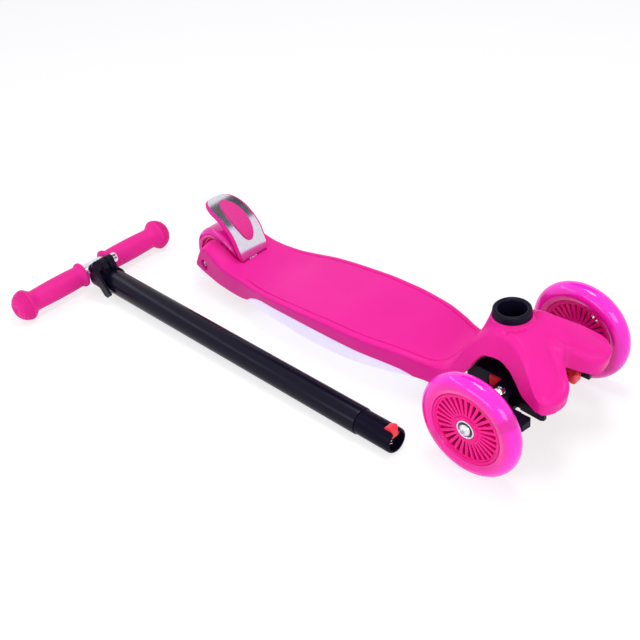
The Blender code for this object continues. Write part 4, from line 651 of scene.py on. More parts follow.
def carve(obj, *steps, sharp=SHARP_ANGLE):
    """Joins and cuts helper solids in order, applies the result and removes the helpers."""
    for operation, helper in steps:
        modifier = obj.modifiers.new(operation.lower(), "BOOLEAN")
        modifier.operation = operation
        modifier.solver = "MANIFOLD"
        modifier.object = helper
    apply_modifiers(obj, sharp)
    for _, helper in steps:
        bpy.data.objects.remove(helper, do_unlink=True)


def soften(obj, width, segments=2, angle=40.0):
    """Rounds a piece's edges."""
    modifier = obj.modifiers.new("soft_edges", "BEVEL")
    modifier.width = width
    modifier.segments = segments
    modifier.limit_method = "ANGLE"
    modifier.angle_limit = radians(angle)
    modifier.harden_normals = True


def sheet_faces(shape, rows):
    """Faces between neighbouring rows of vertices."""
    for low, high in zip(rows, rows[1:]):
        for i in range(len(low) - 1):
            shape.faces.new((low[i], low[i + 1], high[i + 1], high[i]))


def ring_faces(shape, low, high, gaps=()):
    """Faces between two closed rings of vertices, but for the places numbered in gaps."""
    count = len(low)
    for i in range(count):
        if i not in gaps:
            j = (i + 1) % count
            shape.faces.new((low[i], low[j], high[j], high[i]))


def lathe(profile, steps=72, hexagon=()):
    """A solid of revolution about local Z from (radius, height) points. Points whose numbers are listed in
    hexagon lie on a six-sided ring, their radius being to its flats."""
    shape = bmesh.new()
    rings = []
    for number, (radius, height) in enumerate(profile):
        if radius <= 0:
            rings.append([shape.verts.new((0, 0, height))])
            continue
        ring = []
        for i in range(steps):
            angle = 2 * pi * i / steps
            reach = radius / cos((angle % (pi / 3)) - pi / 6) if number in hexagon else radius
            ring.append(shape.verts.new((reach * cos(angle), reach * sin(angle), height)))
        rings.append(ring)
    pairs = list(zip(rings, rings[1:]))
    if profile[0][0] > 0:
        pairs.append((rings[-1], rings[0]))
    for low, high in pairs:
        if len(low) > 1 and len(high) > 1:
            ring_faces(shape, low, high)
        elif len(low) > 1:
            for i in range(steps):
                shape.faces.new((low[i], low[(i + 1) % steps], high[0]))
        elif len(high) > 1:
            for i in range(steps):
                shape.faces.new((low[0], high[(i + 1) % steps], high[i]))
    return shape


def rounded(points, radii, steps=5):
    """A profile with each corner rounded by its radius, 0 for a sharp one. The ends stay as they are."""
    result = [points[0]]
    for before, here, after, radius in zip(points, points[1:], points[2:], radii[1:]):
        if radius <= 0:
            result.append(here)
            continue
        a, b, c = Vector(before), Vector(here), Vector(after)
        cut = min(radius, 0.45 * (a - b).length, 0.45 * (c - b).length)
        start = b + (a - b).normalized() * cut
        finish = b + (c - b).normalized() * cut
        for step in range(steps + 1):
            t = step / steps
            result.append(tuple((1 - t) ** 2 * start + 2 * t * (1 - t) * b + t * t * finish))
    result.append(points[-1])
    return result


def prism(outline, low, high):
    """An outline in local XY, extruded along Z."""
    shape = bmesh.new()
    face = shape.faces.new([shape.verts.new((x, y, low)) for x, y in outline])
    top = bmesh.ops.extrude_face_region(shape, geom=[face])["geom"]
    lifted = [part for part in top if isinstance(part, bmesh.types.BMVert)]
    bmesh.ops.translate(shape, verts=lifted, vec=(0, 0, high - low))
    return shape


def box_shape(low, high):
    """A block between two opposite corners."""
    corners = ((low[0], low[1]), (high[0], low[1]), (high[0], high[1]), (low[0], high[1]))
    return prism(corners, low[2], high[2])


def rod_shape(radius, start, end, steps=32):
    """A rod along local Z."""
    return lathe(((0, start), (radius, start), (radius, end), (0, end)), steps)


def tube_along(shape, points, radius, sides=10):
    """Adds a round bead that follows points to a bmesh."""
    rings = []
    for before, point, after in zip([points[0], *points], points, [*points[1:], points[-1]]):
        run = (after - before).normalized()
        side = run.cross(Vector((0, 0, 1)))
        if side.length < 0.1:
            side = run.cross(Vector((1, 0, 0)))
        side.normalize()
        up = side.cross(run)
        rings.append([shape.verts.new(point + radius * (cos(a) * side + sin(a) * up))
                      for a in np.linspace(0, 2 * pi, sides, endpoint=False)])
    shape.faces.new(rings[0])
    shape.faces.new(rings[-1][::-1])
    for low, high in zip(rings, rings[1:]):
        ring_faces(shape, low, high)


def at(x, y=0.0, z=0.0):
    """A place written from the deck's datum."""
    return Matrix.Translation(DECK_DATUM + Vector((x, y, z)))


def outward(side):
    """Turns local Z to the left for side 1 and to the right for side -1."""
    return Matrix.Rotation(-side * pi / 2, 4, "X")


# ---------------------------------------------------------------------------------------------
# The deck shell
# ---------------------------------------------------------------------------------------------

def curve_through(points):
    """A smooth function through (x, value) points that doesn't overshoot them."""
    xs, ys = (np.array(column, float) for column in zip(*points))
    widths = np.diff(xs)
    secants = np.diff(ys) / widths
    slopes = np.concatenate([[secants[0]], np.zeros(len(xs) - 2), [secants[-1]]])
    for i in range(1, len(xs) - 1):
        before, after = secants[i - 1], secants[i]
        if before * after > 0:
            share = (widths[i - 1] + 2 * widths[i]) / (3 * (widths[i - 1] + widths[i]))
            slopes[i] = before * after / (share * after + (1 - share) * before)

    def value_at(x):
        x = min(max(x, xs[0]), xs[-1])
        i = min(int(np.searchsorted(xs, x, side="right")) - 1, len(xs) - 2)
        width = widths[i]
        t = (x - xs[i]) / width
        return float(
            ys[i] * (1 + 2 * t) * (1 - t) ** 2 + slopes[i] * width * t * (1 - t) ** 2
            + ys[i + 1] * t * t * (3 - 2 * t) - slopes[i + 1] * width * t * t * (1 - t)
        )

    return value_at


def deck_curve(lists):
    """A smooth function of X along the whole deck."""
    fork, deck, head = lists
    points = [(x - WHEELBASE, value) for x, value in fork]
    points += [(PANEL_REAR + (PANEL_FRONT - PANEL_REAR) * share, value) for share, value in deck]
    return curve_through(points + list(head))


ridge_y, ridge_z, centre_z = map(deck_curve, (RIDGE_Y, RIDGE_Z, CENTRE_Z))
edge_y, edge_z, bottom_z = map(deck_curve, (EDGE_Y, EDGE_Z, BOTTOM_Z))
notch, front_z, front_bottom, band_start = map(curve_through, (NOTCH, FRONT_Z, FRONT_BOTTOM, BAND))


def smooth(low, high, value):
    """Rises from 0 at low to 1 at high, level at both."""
    t = min(max((value - low) / (high - low), 0.0), 1.0)
    return t * t * (3 - 2 * t)


def shell_detail(x, y, reach, sizes):
    """How far fine features lift or sink the deck's top at a point."""
    side, end = reach - y - sizes.border_inset, BORDER_FRONT - x
    inside = min(side, end)
    if side < BORDER_BEND and end < BORDER_BEND:
        inside = BORDER_BEND - sqrt((BORDER_BEND - side) ** 2 + (BORDER_BEND - end) ** 2)
    groove = 1 - smooth(0.0002, 0.0009, abs(inside))
    step = 0.0004 * smooth(-0.0004, 0.0004, inside)
    behind = NOTCH_CENTRE + notch(y) - x
    band = 1 - smooth(-0.0009, 0.0009, behind - band_start(y))
    band *= (1 - smooth(0.046, 0.054, y)) * smooth(-0.02, 0.005, x)
    return -smooth(-0.408, -0.385, x) * (sizes.border_depth * groove + step) - sizes.band_depth * band


def boss_height(away):
    """The flare of the shell round the collar's seat, by distance from the column's line."""
    if away > BOSS_REACH:
        return -1.0
    return BOSS_TOP - BOSS_SLOPE * max(0.0, away - BOSS_RADIUS)


def lean_limit(y, away):
    """The greatest height beside the collar that clears it when the bar leans. It is lowest at the sides,
    follows the sphere that the collar sweeps, and rises like a cone beyond it."""
    if not SWEEP_NEAR < away < SWEEP_FAR:
        return 1.0
    sphere = sqrt(SWEEP_RADIUS ** 2 - min(away, SWEEP_EDGE) ** 2)
    return LEAN_HEIGHT + sphere + max(0.0, away - SWEEP_EDGE) + SWEEP_RISE * (1 - y / away)


def soft_max(a, b, width):
    """The greater of two heights, with a fillet of a width where they cross."""
    if abs(a - b) >= width:
        return max(a, b)
    return 0.5 * (a + b) + (a - b) ** 2 / (4 * width) + width / 4


def half_section(x, notched, sizes):
    """Points from the middle of the top, over the ridge, to the lower edge of the side wall at station x.
    Towards the front the station bends forward over the lobes, by the share given."""
    reach = max(ridge_y(x), 1e-6)
    for _ in range(12):
        reach = ridge_y(x + notched * notch(reach))
    ridge_x = x + notched * notch(reach)
    ridge = Vector((ridge_x, reach, ridge_z(ridge_x)))
    edge_x = min(ridge_x, x + notched * notch(edge_y(ridge_x)))
    edge = Vector((edge_x, edge_y(edge_x), edge_z(edge_x)))
    wall = edge - ridge
    points = []
    across = [share * (reach - TOP_EDGE) for share in TOP_SHARES]
    for y in across + [reach - inset for inset in GROOVE_INSETS]:
        plain = centre_z(x) + (ridge.z - centre_z(x)) * (y / reach) ** 2
        height = plain + notched ** 2 * (front_z(y) - plain)
        here = x + notched * notch(y)
        away = sqrt((here - COLUMN_X) ** 2 + y * y)
        if abs(here - COLUMN_X) < BOSS_REACH:
            height = min(soft_max(height, boss_height(away), 0.004), lean_limit(y, away))
        points.append(Vector((here, y, height + shell_detail(here, y, reach, sizes))))
    start = points[-1]
    finish = ridge + wall.normalized() * min(CORNER, 0.3 * wall.length)
    flat = 0.95 * smooth(-0.095, -0.070, x)
    for step in range(1, CORNER_STEPS + 1):
        t = step / CORNER_STEPS
        arc = (1 - t) ** 2 * start + 2 * t * (1 - t) * ridge + t * t * finish
        chord = start + (finish - start) * (0.5 - 0.5 * cos(pi * t))
        points.append(arc.lerp(chord, flat))
    for step in range(1, WALL_STEPS + 1):
        points.append(finish + (edge - finish) * step / WALL_STEPS)
    return points


def front_column(top, facing):
    """Points down the head's front wall below a point of its top, as many as a side wall has."""
    crest = top + facing * CORNER
    crest.z = top.z - 0.12 * CORNER
    low = Vector((crest.x - WALL_TUCK * min(1.0, top.y / 0.045), crest.y, front_bottom(top.y)))
    wall = low - crest
    finish = crest + wall.normalized() * min(CORNER, 0.4 * wall.length)
    points = []
    for step in range(1, CORNER_STEPS + 1):
        t = step / CORNER_STEPS
        points.append((1 - t) ** 2 * top + 2 * t * (1 - t) * crest + t * t * finish)
    for step in range(1, WALL_STEPS + 1):
        points.append(finish + (low - finish) * step / WALL_STEPS)
    return points


def front_wall(front):
    """Rows down the head's front wall. Each ends on the front edge of the side wall."""
    tops = front[:TOP_COLUMNS]
    columns = []
    for i, point in enumerate(tops[:-1]):
        run = tops[i + 1] - tops[max(i - 1, 0)]
        facing = Vector((run.y, -run.x, 0)).normalized() if i else Vector((1, 0, 0))
        columns.append(front_column(point, facing))
    columns.append(front[TOP_COLUMNS:])
    return [list(row) for row in zip(*columns)]


def mirrored_row(shape, row):
    """Vertices of a half section and of its mirror image, from right to left."""
    left = [shape.verts.new(point) for point in row]
    right = [shape.verts.new((point.x, -point.y, point.z)) for point in row[1:]]
    return right[::-1] + left


def strip_mesh(rows, front=()):
    """A grid of faces over half sections, mirrored across the middle, and the front wall's below its first
    columns. Doubled points along their seam are merged later."""
    shape = bmesh.new()
    grid = [mirrored_row(shape, row) for row in rows]
    if front:
        first = rows[-1][:len(front[0])]
        sheet_faces(shape, [mirrored_row(shape, row) for row in (first, *front)])
    sheet_faces(shape, grid)
    return shape


def thicken(obj, direction, thickness, offset):
    """Gives an open sheet a wall, with its faces turned towards a direction first."""
    total = sum((face.normal * face.area for face in obj.data.polygons), Vector())
    if total.dot(Vector(direction)) < 0:
        obj.data.flip_normals()
    modifier = obj.modifiers.new("wall", "SOLIDIFY")
    modifier.thickness = thickness
    modifier.offset = offset
    modifier.use_quality_normals = True


def deck_stations():
    """Stations along the deck, close together where the border groove crosses it."""
    fork = (-0.019, -0.017, -0.013, -0.008, -0.003, 0.002, 0.007, 0.012, 0.018, 0.025, 0.033, 0.041, 0.049,
            0.059, 0.069, 0.078)
    stations = [x - WHEELBASE for x in fork]
    for start, end, count in ((PANEL_REAR, PANEL_FRONT, 34), (-0.1165, -0.101, 8), (-0.1, -0.083, 25),
                              (-0.081, 0.006, 34)):
        stations += list(np.linspace(start, end, count))
    return stations


def fork_side(side, sizes):
    """The inner wall of a fork cheek with its axle boss, and the pillars over the bridge's screws."""
    low, high = sorted((side * (FORK_INNER - TRIM), side * (FORK_INNER + CHEEK_WALL)))
    boss = rod_shape(0.0115, FORK_INNER - 0.5 * TRIM, FORK_OUTER - 0.0025)
    solids = [tool(prism(CHEEK_OUTLINE, -high, -low), at(-WHEELBASE) @ outward(-1)),
              tool(boss, at(-WHEELBASE, 0, sizes.rear_radius) @ outward(side))]
    for x, y in BRIDGE_BOLTS:
        middle = centre_z(x)
        top = middle + (ridge_z(x) - middle) * ((y + 0.005) / ridge_y(x)) ** 2
        solids.append(tool(rod_shape(0.0052, EAR_TOP + GAP, top - 0.0015, 16), at(x, side * y)))
    return solids


def deck_shell(sizes):
    """The moulded deck: its skin, the walls inside it, and the holes for what it carries."""
    stations = deck_stations()
    rows = [half_section(x, 0.0, sizes) for x in stations]
    for step in range(1, NOTCH_STEPS + 1):
        t = step / NOTCH_STEPS
        x = stations[-1] + (NOTCH_CENTRE - CORNER - stations[-1]) * t
        rows.append(half_section(x, t * t * (3 - 2 * t), sizes))
    skin = strip_mesh(rows, front_wall(rows[-1]))
    shell = piece("deck_shell", skin, "shell_pink", at(0), "deck", "deck_body")
    thicken(shell, (0, 0, 1), sizes.shell_wall, -1)

    rear_wall = box_shape((WELL_FRONT - TRIM, -FORK_INNER - 0.002, 0.0235),
                          (WELL_FRONT + 0.003, FORK_INNER + 0.002, centre_z(WELL_FRONT) - 0.001))
    joins = [tool(collar_seat(), at(COLUMN_X)), *fork_side(1, sizes), *fork_side(-1, sizes),
             tool(rear_wall, at(0))]
    well = rounded_box((-WHEELBASE - 0.040, -FORK_INNER, -0.01), (WELL_FRONT, FORK_INNER, 0.09), 0.004)
    axle = at(-WHEELBASE, 0, sizes.rear_radius)
    hinge = Matrix.Translation(DECK_DATUM + BRAKE_HINGE)
    holes = [tool(well, at(0)), tool(rod_shape(AXLE_HOLE, -0.06, 0.06), axle @ ALONG_Y),
             tool(rod_shape(BRAKE_PIN_HOLE, -0.0275, 0.0275), hinge @ ALONG_Y)]
    for side in (1, -1):
        holes.append(tool(rod_shape(0.0074, FORK_OUTER - NUT_RECESS, 0.06, 40), axle @ outward(side)))
        for x, y in BRIDGE_BOLTS:
            holes.append(tool(rod_shape(0.0028, EAR_TOP - 0.001, EAR_TOP + 0.0135, 16), at(x, side * y)))
    carve(shell,
          ("DIFFERENCE", tool(rod_shape(0.021, 0.09, 0.15, 64), at(COLUMN_X))),
          *(("UNION", helper) for helper in joins), *(("DIFFERENCE", helper) for helper in holes),
          sharp=radians(38.0))


def rounded_box(low, high, radius):
    """A block whose front upright edges are rounded."""
    outline = [(low[0], low[1]), (high[0], low[1]), (high[0], high[1]), (low[0], high[1]), (low[0], low[1])]
    points = rounded(outline, (0, radius, radius, 0, 0))[:-1]
    return prism(points, low[2], high[2])


def seat_band(radius, bore, outer):
    """Points up a sphere about the lean axis, from one distance off the column's line to another."""
    angles = np.linspace(asin(bore / radius), asin(outer / radius), 8)
    return [(radius * sin(angle), radius * cos(angle)) for angle in angles]


def collar_seat():
    """The round seat under the collar, a band of a sphere about the lean axis."""
    bore, outer = 0.020, 0.0226
    dome = [(away, LEAN_HEIGHT + height) for away, height in seat_band(SEAT_RADIUS, bore, outer)]
    rim = dome[-1][1]
    foot = LEAN_HEIGHT - 0.008
    return lathe([(bore, foot), *dome, (outer + 0.0003, rim - 0.0008), (outer + 0.0010, rim - 0.003),
                  (outer + 0.0028, rim - 0.010), (outer + 0.006, foot)], 96)


def light_tray(sizes):
    """The translucent tray under the deck that carries the lights."""
    rows = []
    for x in np.linspace(PANEL_REAR, PANEL_FRONT, 48):
        top = Vector((x, edge_y(x) - 0.0006, edge_z(x) - 0.0009))
        base = bottom_z(x)
        low = Vector((x, top.y, min(base + 0.003, top.z - 0.0006)))
        corner = Vector((x, top.y, base))
        inner = Vector((x, top.y - 0.003, base))
        row = [Vector((x, inner.y * share, base)) for share in (0, 0.25, 0.5, 0.75, 1)]
        row += [(1 - t) ** 2 * inner + 2 * t * (1 - t) * corner + t * t * low
                for t in (0.2, 0.4, 0.6, 0.8, 1.0)]
        row += [low.lerp(top, share) for share in (0.25, 0.5, 0.75, 1)]
        rows.append(row)
    tray = piece("light_tray", strip_mesh(rows), "light_panel", at(0), "deck", "light_panel")
    thicken(tray, (0, 0, -1), 0.0025, -1)
    apply_modifiers(tray)


# ---------------------------------------------------------------------------------------------
# Steering
# ---------------------------------------------------------------------------------------------

def collar_socket():
    """The collar and the socket under it, one moulding with the finger that moves the tie rod."""
    bore, wall, outer, ball_radius = 0.0151, 0.017, 0.0213, 0.004
    rim, floor, ball = (height - LEAN_HEIGHT for height in (COLLAR_TOP, SOCKET_FLOOR, FINGER_BALL))
    dome = seat_band(SEAT_RADIUS + GAP, wall, outer)
    foot = dome[-1][1]
    top = outer - 0.0008
    profile = [(0, floor), (bore, floor), (bore, rim - 0.0022), (bore + 0.0004, rim - 0.0012),
               (bore + 0.0014, rim - 0.0003), (bore + 0.0024, rim), (top - 0.0020, rim),
               (top - 0.0010, rim - 0.0003), (top - 0.0003, rim - 0.0010), (top, rim - 0.0022),
               (outer, foot + 0.0010), (outer - 0.0001, foot + 0.0003), *dome[-2::-1],
               (wall, floor - 0.003), (wall - 0.001, floor - 0.004), (0.007, floor - 0.010),
               (0.006, ball + 0.014), (0.0033, ball + 0.009)]
    profile += [(ball_radius * cos(a), ball - ball_radius * sin(a))
                for a in np.linspace(-0.6, 0.5 * pi, 10)[:-1]]
    profile.append((0, ball - ball_radius))
    piece("collar_socket", lathe(profile, 96), "black_plastic", at(COLUMN_X, 0, LEAN_HEIGHT), "socket",
          "steering_socket")


KEPT = (
    # node, finish, edge rounding
    ("front_bridge", "black_plastic", 0.0006), ("lean_buffer", "red_plastic", 0.0006),
    ("steer_stop_left", "red_plastic", 0.0006), ("steer_stop_right", "red_plastic", 0.0006),
    ("knuckle_left", "black_plastic", 0.0005), ("knuckle_right", "black_plastic", 0.0005),
    ("tie_rod", "red_plastic", 0.0006), ("lean_pin_front", "bright_steel", 0.0002),
    ("lean_pin_rear", "bright_steel", 0.0002), ("led_strip_left", "bright_steel", 0.0002),
    ("led_strip_right", "bright_steel", 0.0002), ("battery_box", "black_plastic", 0.0010),
    ("magnet_spacer_left", "bright_steel", 0.0002), ("magnet_spacer_right", "bright_steel", 0.0002),
    ("rear_spacer", "bright_steel", 0.0002), ("rear_washer_left", "bright_steel", 0.0),
    ("rear_washer_right", "bright_steel", 0.0), ("rear_axle_nut", "bright_steel", 0.0004),
    ("brake_pin", "bright_steel", 0.0002), ("brake_spring", "bright_steel", 0.0),
    ("catch_spring", "bright_steel", 0.0), ("qr_skewer", "bright_steel", 0.0002),
    ("clamp_collar", "black_plastic", 0.0004), ("qr_lever", "black_plastic", 0.0005),
)


def dress_kept_nodes():
    """Finishes and soft edges for the CAD nodes whose shape is right as it is."""
    for name, finish, width in KEPT:
        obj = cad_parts[name]
        obj.data.materials.clear()
        obj.data.materials.append(made_material(finish))
        if width:
            soften(obj, width)


# ---------------------------------------------------------------------------------------------
# Wheels and fasteners
# ---------------------------------------------------------------------------------------------

def wheel_place(side, sizes):
    """The middle of a front wheel, with local Z pointing outward."""
    return at(0, side * 0.5 * TRACK, sizes.front_radius) @ outward(side)


def front_tyre_profile(sizes):
    """A round tread that runs down to a lip on each face of the core."""
    bulge = 0.5 * sizes.front_width
    crown = sizes.front_radius - bulge
    arc = [(crown + bulge * cos(a), bulge * sin(a)) for a in np.linspace(-0.5 * pi, 0.5 * pi, 33)]
    lip = [(0.042, CORE_HALF - 0.0008), (0.0424, CORE_HALF - 0.0001), (0.0440, CORE_HALF + 0.0003),
           (0.0456, CORE_HALF + 0.0013)]
    return [*((radius, -height) for radius, height in lip), *arc, *lip[::-1]]


def wheel_core(sizes):
    """A dished disc with narrow slots between its spokes."""
    slots = sizes.spoke_count
    start, end, narrow = 0.0180, 0.0368, 0.0009
    dish = CORE_HALF - 0.0019
    stations = [(0.0110, CORE_HALF - 0.0004), (0.0114, CORE_HALF), (0.0146, CORE_HALF),
                (0.0152, CORE_HALF - 0.0005), (0.0156, CORE_HALF - 0.0016)]
    first = len(stations)
    stations += [(radius, dish) for radius in np.linspace(start, end, 6)]
    last = len(stations) - 1
    stations += [(0.0378, dish), (0.0383, CORE_HALF - 0.0012), (0.0388, CORE_HALF - 0.0002),
                 (0.0393, CORE_HALF), (0.0413, CORE_HALF), (0.0417, CORE_HALF - 0.0005)]
    shape = bmesh.new()
    faces = []
    for side in (1, -1):
        rings = []
        for radius, height in stations:
            held = min(max(radius, start), end)
            width = narrow + (sizes.slot_width - narrow) * (held - start) / (end - start)
            open_half = 0.5 * width / held
            ring = []
            for k in range(slots):
                middle = 2 * pi * k / slots
                for angle in (middle - pi / slots, middle - open_half, middle, middle + open_half):
                    ring.append(shape.verts.new((radius * cos(angle), radius * sin(angle), side * height)))
            rings.append(ring)
        faces.append(rings)
    front, back = faces
    gaps = {place for place in range(4 * slots) if place % 4 in (1, 2)}
    for rings in faces:
        for i, (low, high) in enumerate(zip(rings, rings[1:])):
            ring_faces(shape, low, high, gaps if first <= i < last else ())
    ring_faces(shape, front[0], back[0])
    ring_faces(shape, front[-1], back[-1])
    for slot in range(0, 4 * slots, 4):
        for i in range(first, last):
            for j in (slot + 1, slot + 3):
                shape.faces.new((front[i][j], front[i + 1][j], back[i + 1][j], back[i][j]))
        for i in (first, last):
            for j in (slot + 1, slot + 2):
                shape.faces.new((front[i][j], front[i][j + 1], back[i][j + 1], back[i][j]))
    return shape


def bearing_profile(start):
    """A sealed ball bearing: outer ring, sunk seals and inner ring."""
    face = [(BEARING_BORE, 0.0003), (BEARING_BORE + 0.0003, 0), (0.0058, 0), (0.0060, 0.0002),
            (0.0061, 0.0006), (0.0090, 0.0006), (0.0092, 0.0002), (0.0094, 0), (BEARING_OUTER - 0.0003, 0),
            (BEARING_OUTER, 0.0003)]
    return [(r, start + z) for r, z in face] + [(r, start + BEARING_WIDTH - z) for r, z in face[::-1]]


def button_bolt(shaft, seat, end, head, height, key):
    """A bolt along -Z from its head: domed button head with a hexagon socket, chamfered tip."""
    rim = key * 1.32
    crown = seat + height
    floor = crown - 0.8 * height
    dome = [(head * cos(a), seat + height * sin(a)) for a in np.linspace(0.12, 0.98, 7)]
    dome = [point for point in dome if point[0] > rim + 0.0003]
    profile = [(0, floor), (key, floor), (key, crown - 0.0003), (rim, crown), *dome[::-1],
               (head, seat + 0.0004), (head - 0.0003, seat), (shaft, seat), (shaft, end + 0.0006),
               (shaft - 0.0005, end), (0, end)]
    return lathe(profile, 48, hexagon=(1, 2))


def fasteners(sizes):
    """Bolts and kingpins, each with a hexagon socket in its head."""
    for word, side in SIDES:
        beams = (("rear", REAR_BEAM_BOTTOM), ("front", FRONT_BEAM_BOTTOM))
        for (x, y), (where, seat) in zip(BRIDGE_BOLTS, beams):
            screw = button_bolt(0.0025, -seat + GAP, -EAR_TOP - 0.013, 0.0045, 0.0025, 0.0013)
            piece(f"bridge_screw_{where}_{word}", screw, "bright_steel",
                  at(x, side * y) @ Matrix.Rotation(pi, 4, "X"), "deck", f"bridge_bolt_{where}_{word}")
        kingpin = button_bolt(0.004, EAR_TOP + GAP, FRONT_BEAM_BOTTOM - 0.0005, 0.0066, 0.0037, 0.0019)
        piece(f"kingpin_bolt_{word}", kingpin, "bright_steel", at(0, side * KINGPIN_Y), "deck",
              f"kingpin_{word}")
        seat = ARM_BOTTOM + ARM_DEPTH + GAP + ROD_DEPTH + GAP
        tie_bolt = button_bolt(0.003, seat, ARM_BOTTOM - 0.0004, 0.005, 0.0027, 0.0014)
        piece(f"tie_screw_{word}", tie_bolt, "bright_steel", at(-STEER_ARM, side * KINGPIN_Y),
              f"{word}_knuckle", f"tie_bolt_{word}")
        end = WHEEL_BOLT_TIP - (0.5 * TRACK - KINGPIN_Y)
        wheel_bolt = button_bolt(0.004, CORE_HALF + GAP, end, 0.0068, 0.004, 0.0028)
        piece(f"wheel_bolt_{word}", wheel_bolt, "bright_steel", wheel_place(side, sizes), f"{word}_knuckle",
              f"axle_bolt_{word}")
    reach = FORK_OUTER - NUT_RECESS
    rear_bolt = button_bolt(0.004, reach + GAP, -reach - 0.0065, 0.0068, 0.005, 0.0022)
    piece("rear_wheel_bolt", rear_bolt, "bright_steel", at(-WHEELBASE, 0, sizes.rear_radius) @ outward(-1),
          "deck", "rear_axle_bolt")


def front_wheels(sizes):
    """Each front wheel's tyre, spoked core and two bearings."""
    for word, side in SIDES:
        hub, body = wheel_place(side, sizes), f"{word}_wheel"
        piece(f"cast_tyre_{word}", lathe(front_tyre_profile(sizes), 96), "front_tyre", hub, body,
              f"tyre_{word}")
        core = piece(f"spoked_core_{word}", wheel_core(sizes), "core_pink", hub, body, f"wheel_core_{word}")
        soften(core, 0.0004, 3, 45)
        for where, start in (("outer", CORE_HALF - BEARING_WIDTH), ("inner", -CORE_HALF)):
            piece(f"{where}_bearing_{word}", lathe(bearing_profile(start)), "sealed_bearing", hub, body,
                  f"bearing_{where}_{word}")


def back_wheel(sizes):
    """The rear wheel's wide tyre, its core and two bearings."""
    hub = at(-WHEELBASE, 0, sizes.rear_radius) @ ALONG_Y
    half, radius, shoulder = 0.5 * sizes.rear_width, sizes.rear_radius, 0.008
    arc = [(radius - shoulder + shoulder * cos(a), half - shoulder + shoulder * sin(a))
           for a in np.linspace(0, 0.5 * pi, 14)]
    tyre = [*arc, (0.0294, half - 0.0008), (0.029, half - 0.0034)]
    seat, web = 0.0287, 0.006
    core = [(0.0110, half - 0.0003), (0.0114, half), (0.0146, half), (0.0150, half - 0.0005),
            (0.0153, web + 0.0015), (0.0162, web), (seat - 0.0055, web), (seat - 0.0045, web + 0.0015),
            (seat - 0.0040, half - 0.0045), (seat - 0.0036, half - 0.004), (seat, half - 0.004)]
    tyre = [(r, -z) for r, z in tyre[::-1]] + tyre
    core = core + [(r, -z) for r, z in core[::-1]]
    piece("cast_tyre_rear", lathe(tyre, 96), "back_tyre", hub, "rear_wheel", "rear_tyre")
    piece("core_rear", lathe(core, 96), "core_pink", hub, "rear_wheel", "rear_core")
    for word, start in (("left", half - BEARING_WIDTH), ("right", -half)):
        piece(f"bearing_rear_{word}", lathe(bearing_profile(start)), "sealed_bearing", hub, "rear_wheel",
              f"rear_bearing_{word}")


# ---------------------------------------------------------------------------------------------
# Foot brake
# ---------------------------------------------------------------------------------------------

def catmull(a, b, c, d, t):
    """A point on the smooth curve from b to c."""
    square, cube = 2 * a - 5 * b + 4 * c - d, 3 * b - a - 3 * c + d
    return 0.5 * (2 * b + (c - a) * t + square * t * t + cube * t ** 3)


def brake_line(offset, steps=8):
    """The brake's side view moved outward, as (share, x, z) from the hinge."""
    curve = [Vector(point) for point in BRAKE_SIDE]
    last = len(curve) - 1
    dense = []
    for i in range(last):
        before, after = curve[max(i - 1, 0)], curve[min(i + 2, last)]
        for t in np.arange(0, 1, 1 / steps):
            dense.append(((i + t) / last, catmull(before, curve[i], curve[i + 1], after, t)))
    dense.append((1.0, curve[-1]))
    moved = []
    for i, (share, point) in enumerate(dense):
        run = dense[min(i + 1, len(dense) - 1)][1] - dense[max(i - 1, 0)][1]
        normal = Vector((run.y, -run.x)).normalized()
        moved.append((share, point + normal * offset))
    return moved


def brake_width(share, inset):
    """Half width along the brake, from its foot between the cheeks to its round tip."""
    foot = BRAKE_FOOT_HALF - 0.6 * inset
    full = BRAKE_HALF_WIDTH - inset
    if share <= BRAKE_TIP_START:
        return foot + (full - foot) * smooth(0.0, BRAKE_FOOT_END, share)
    t = (share - BRAKE_TIP_START) / (1 - BRAKE_TIP_START - inset / BRAKE_LENGTH)
    return max(full * sqrt(max(1 - t ** 2.6, 0)), 0.004)


def brake_sheet(name, finish, line, half_width, thickness, hinge, node):
    """A sheet along the brake's side view, closely sampled towards its edges."""
    across = (0, 0.25, 0.5, 0.7, 0.85, 0.94, 0.985, 1)
    rows = [[Vector((point.x, half_width(share) * t, point.y)) for t in across] for share, point in line]
    sheet = piece(name, strip_mesh(rows), finish, hinge, "brake", node)
    thicken(sheet, (1, 0, 1), thickness, 1)
    apply_modifiers(sheet)
    return sheet


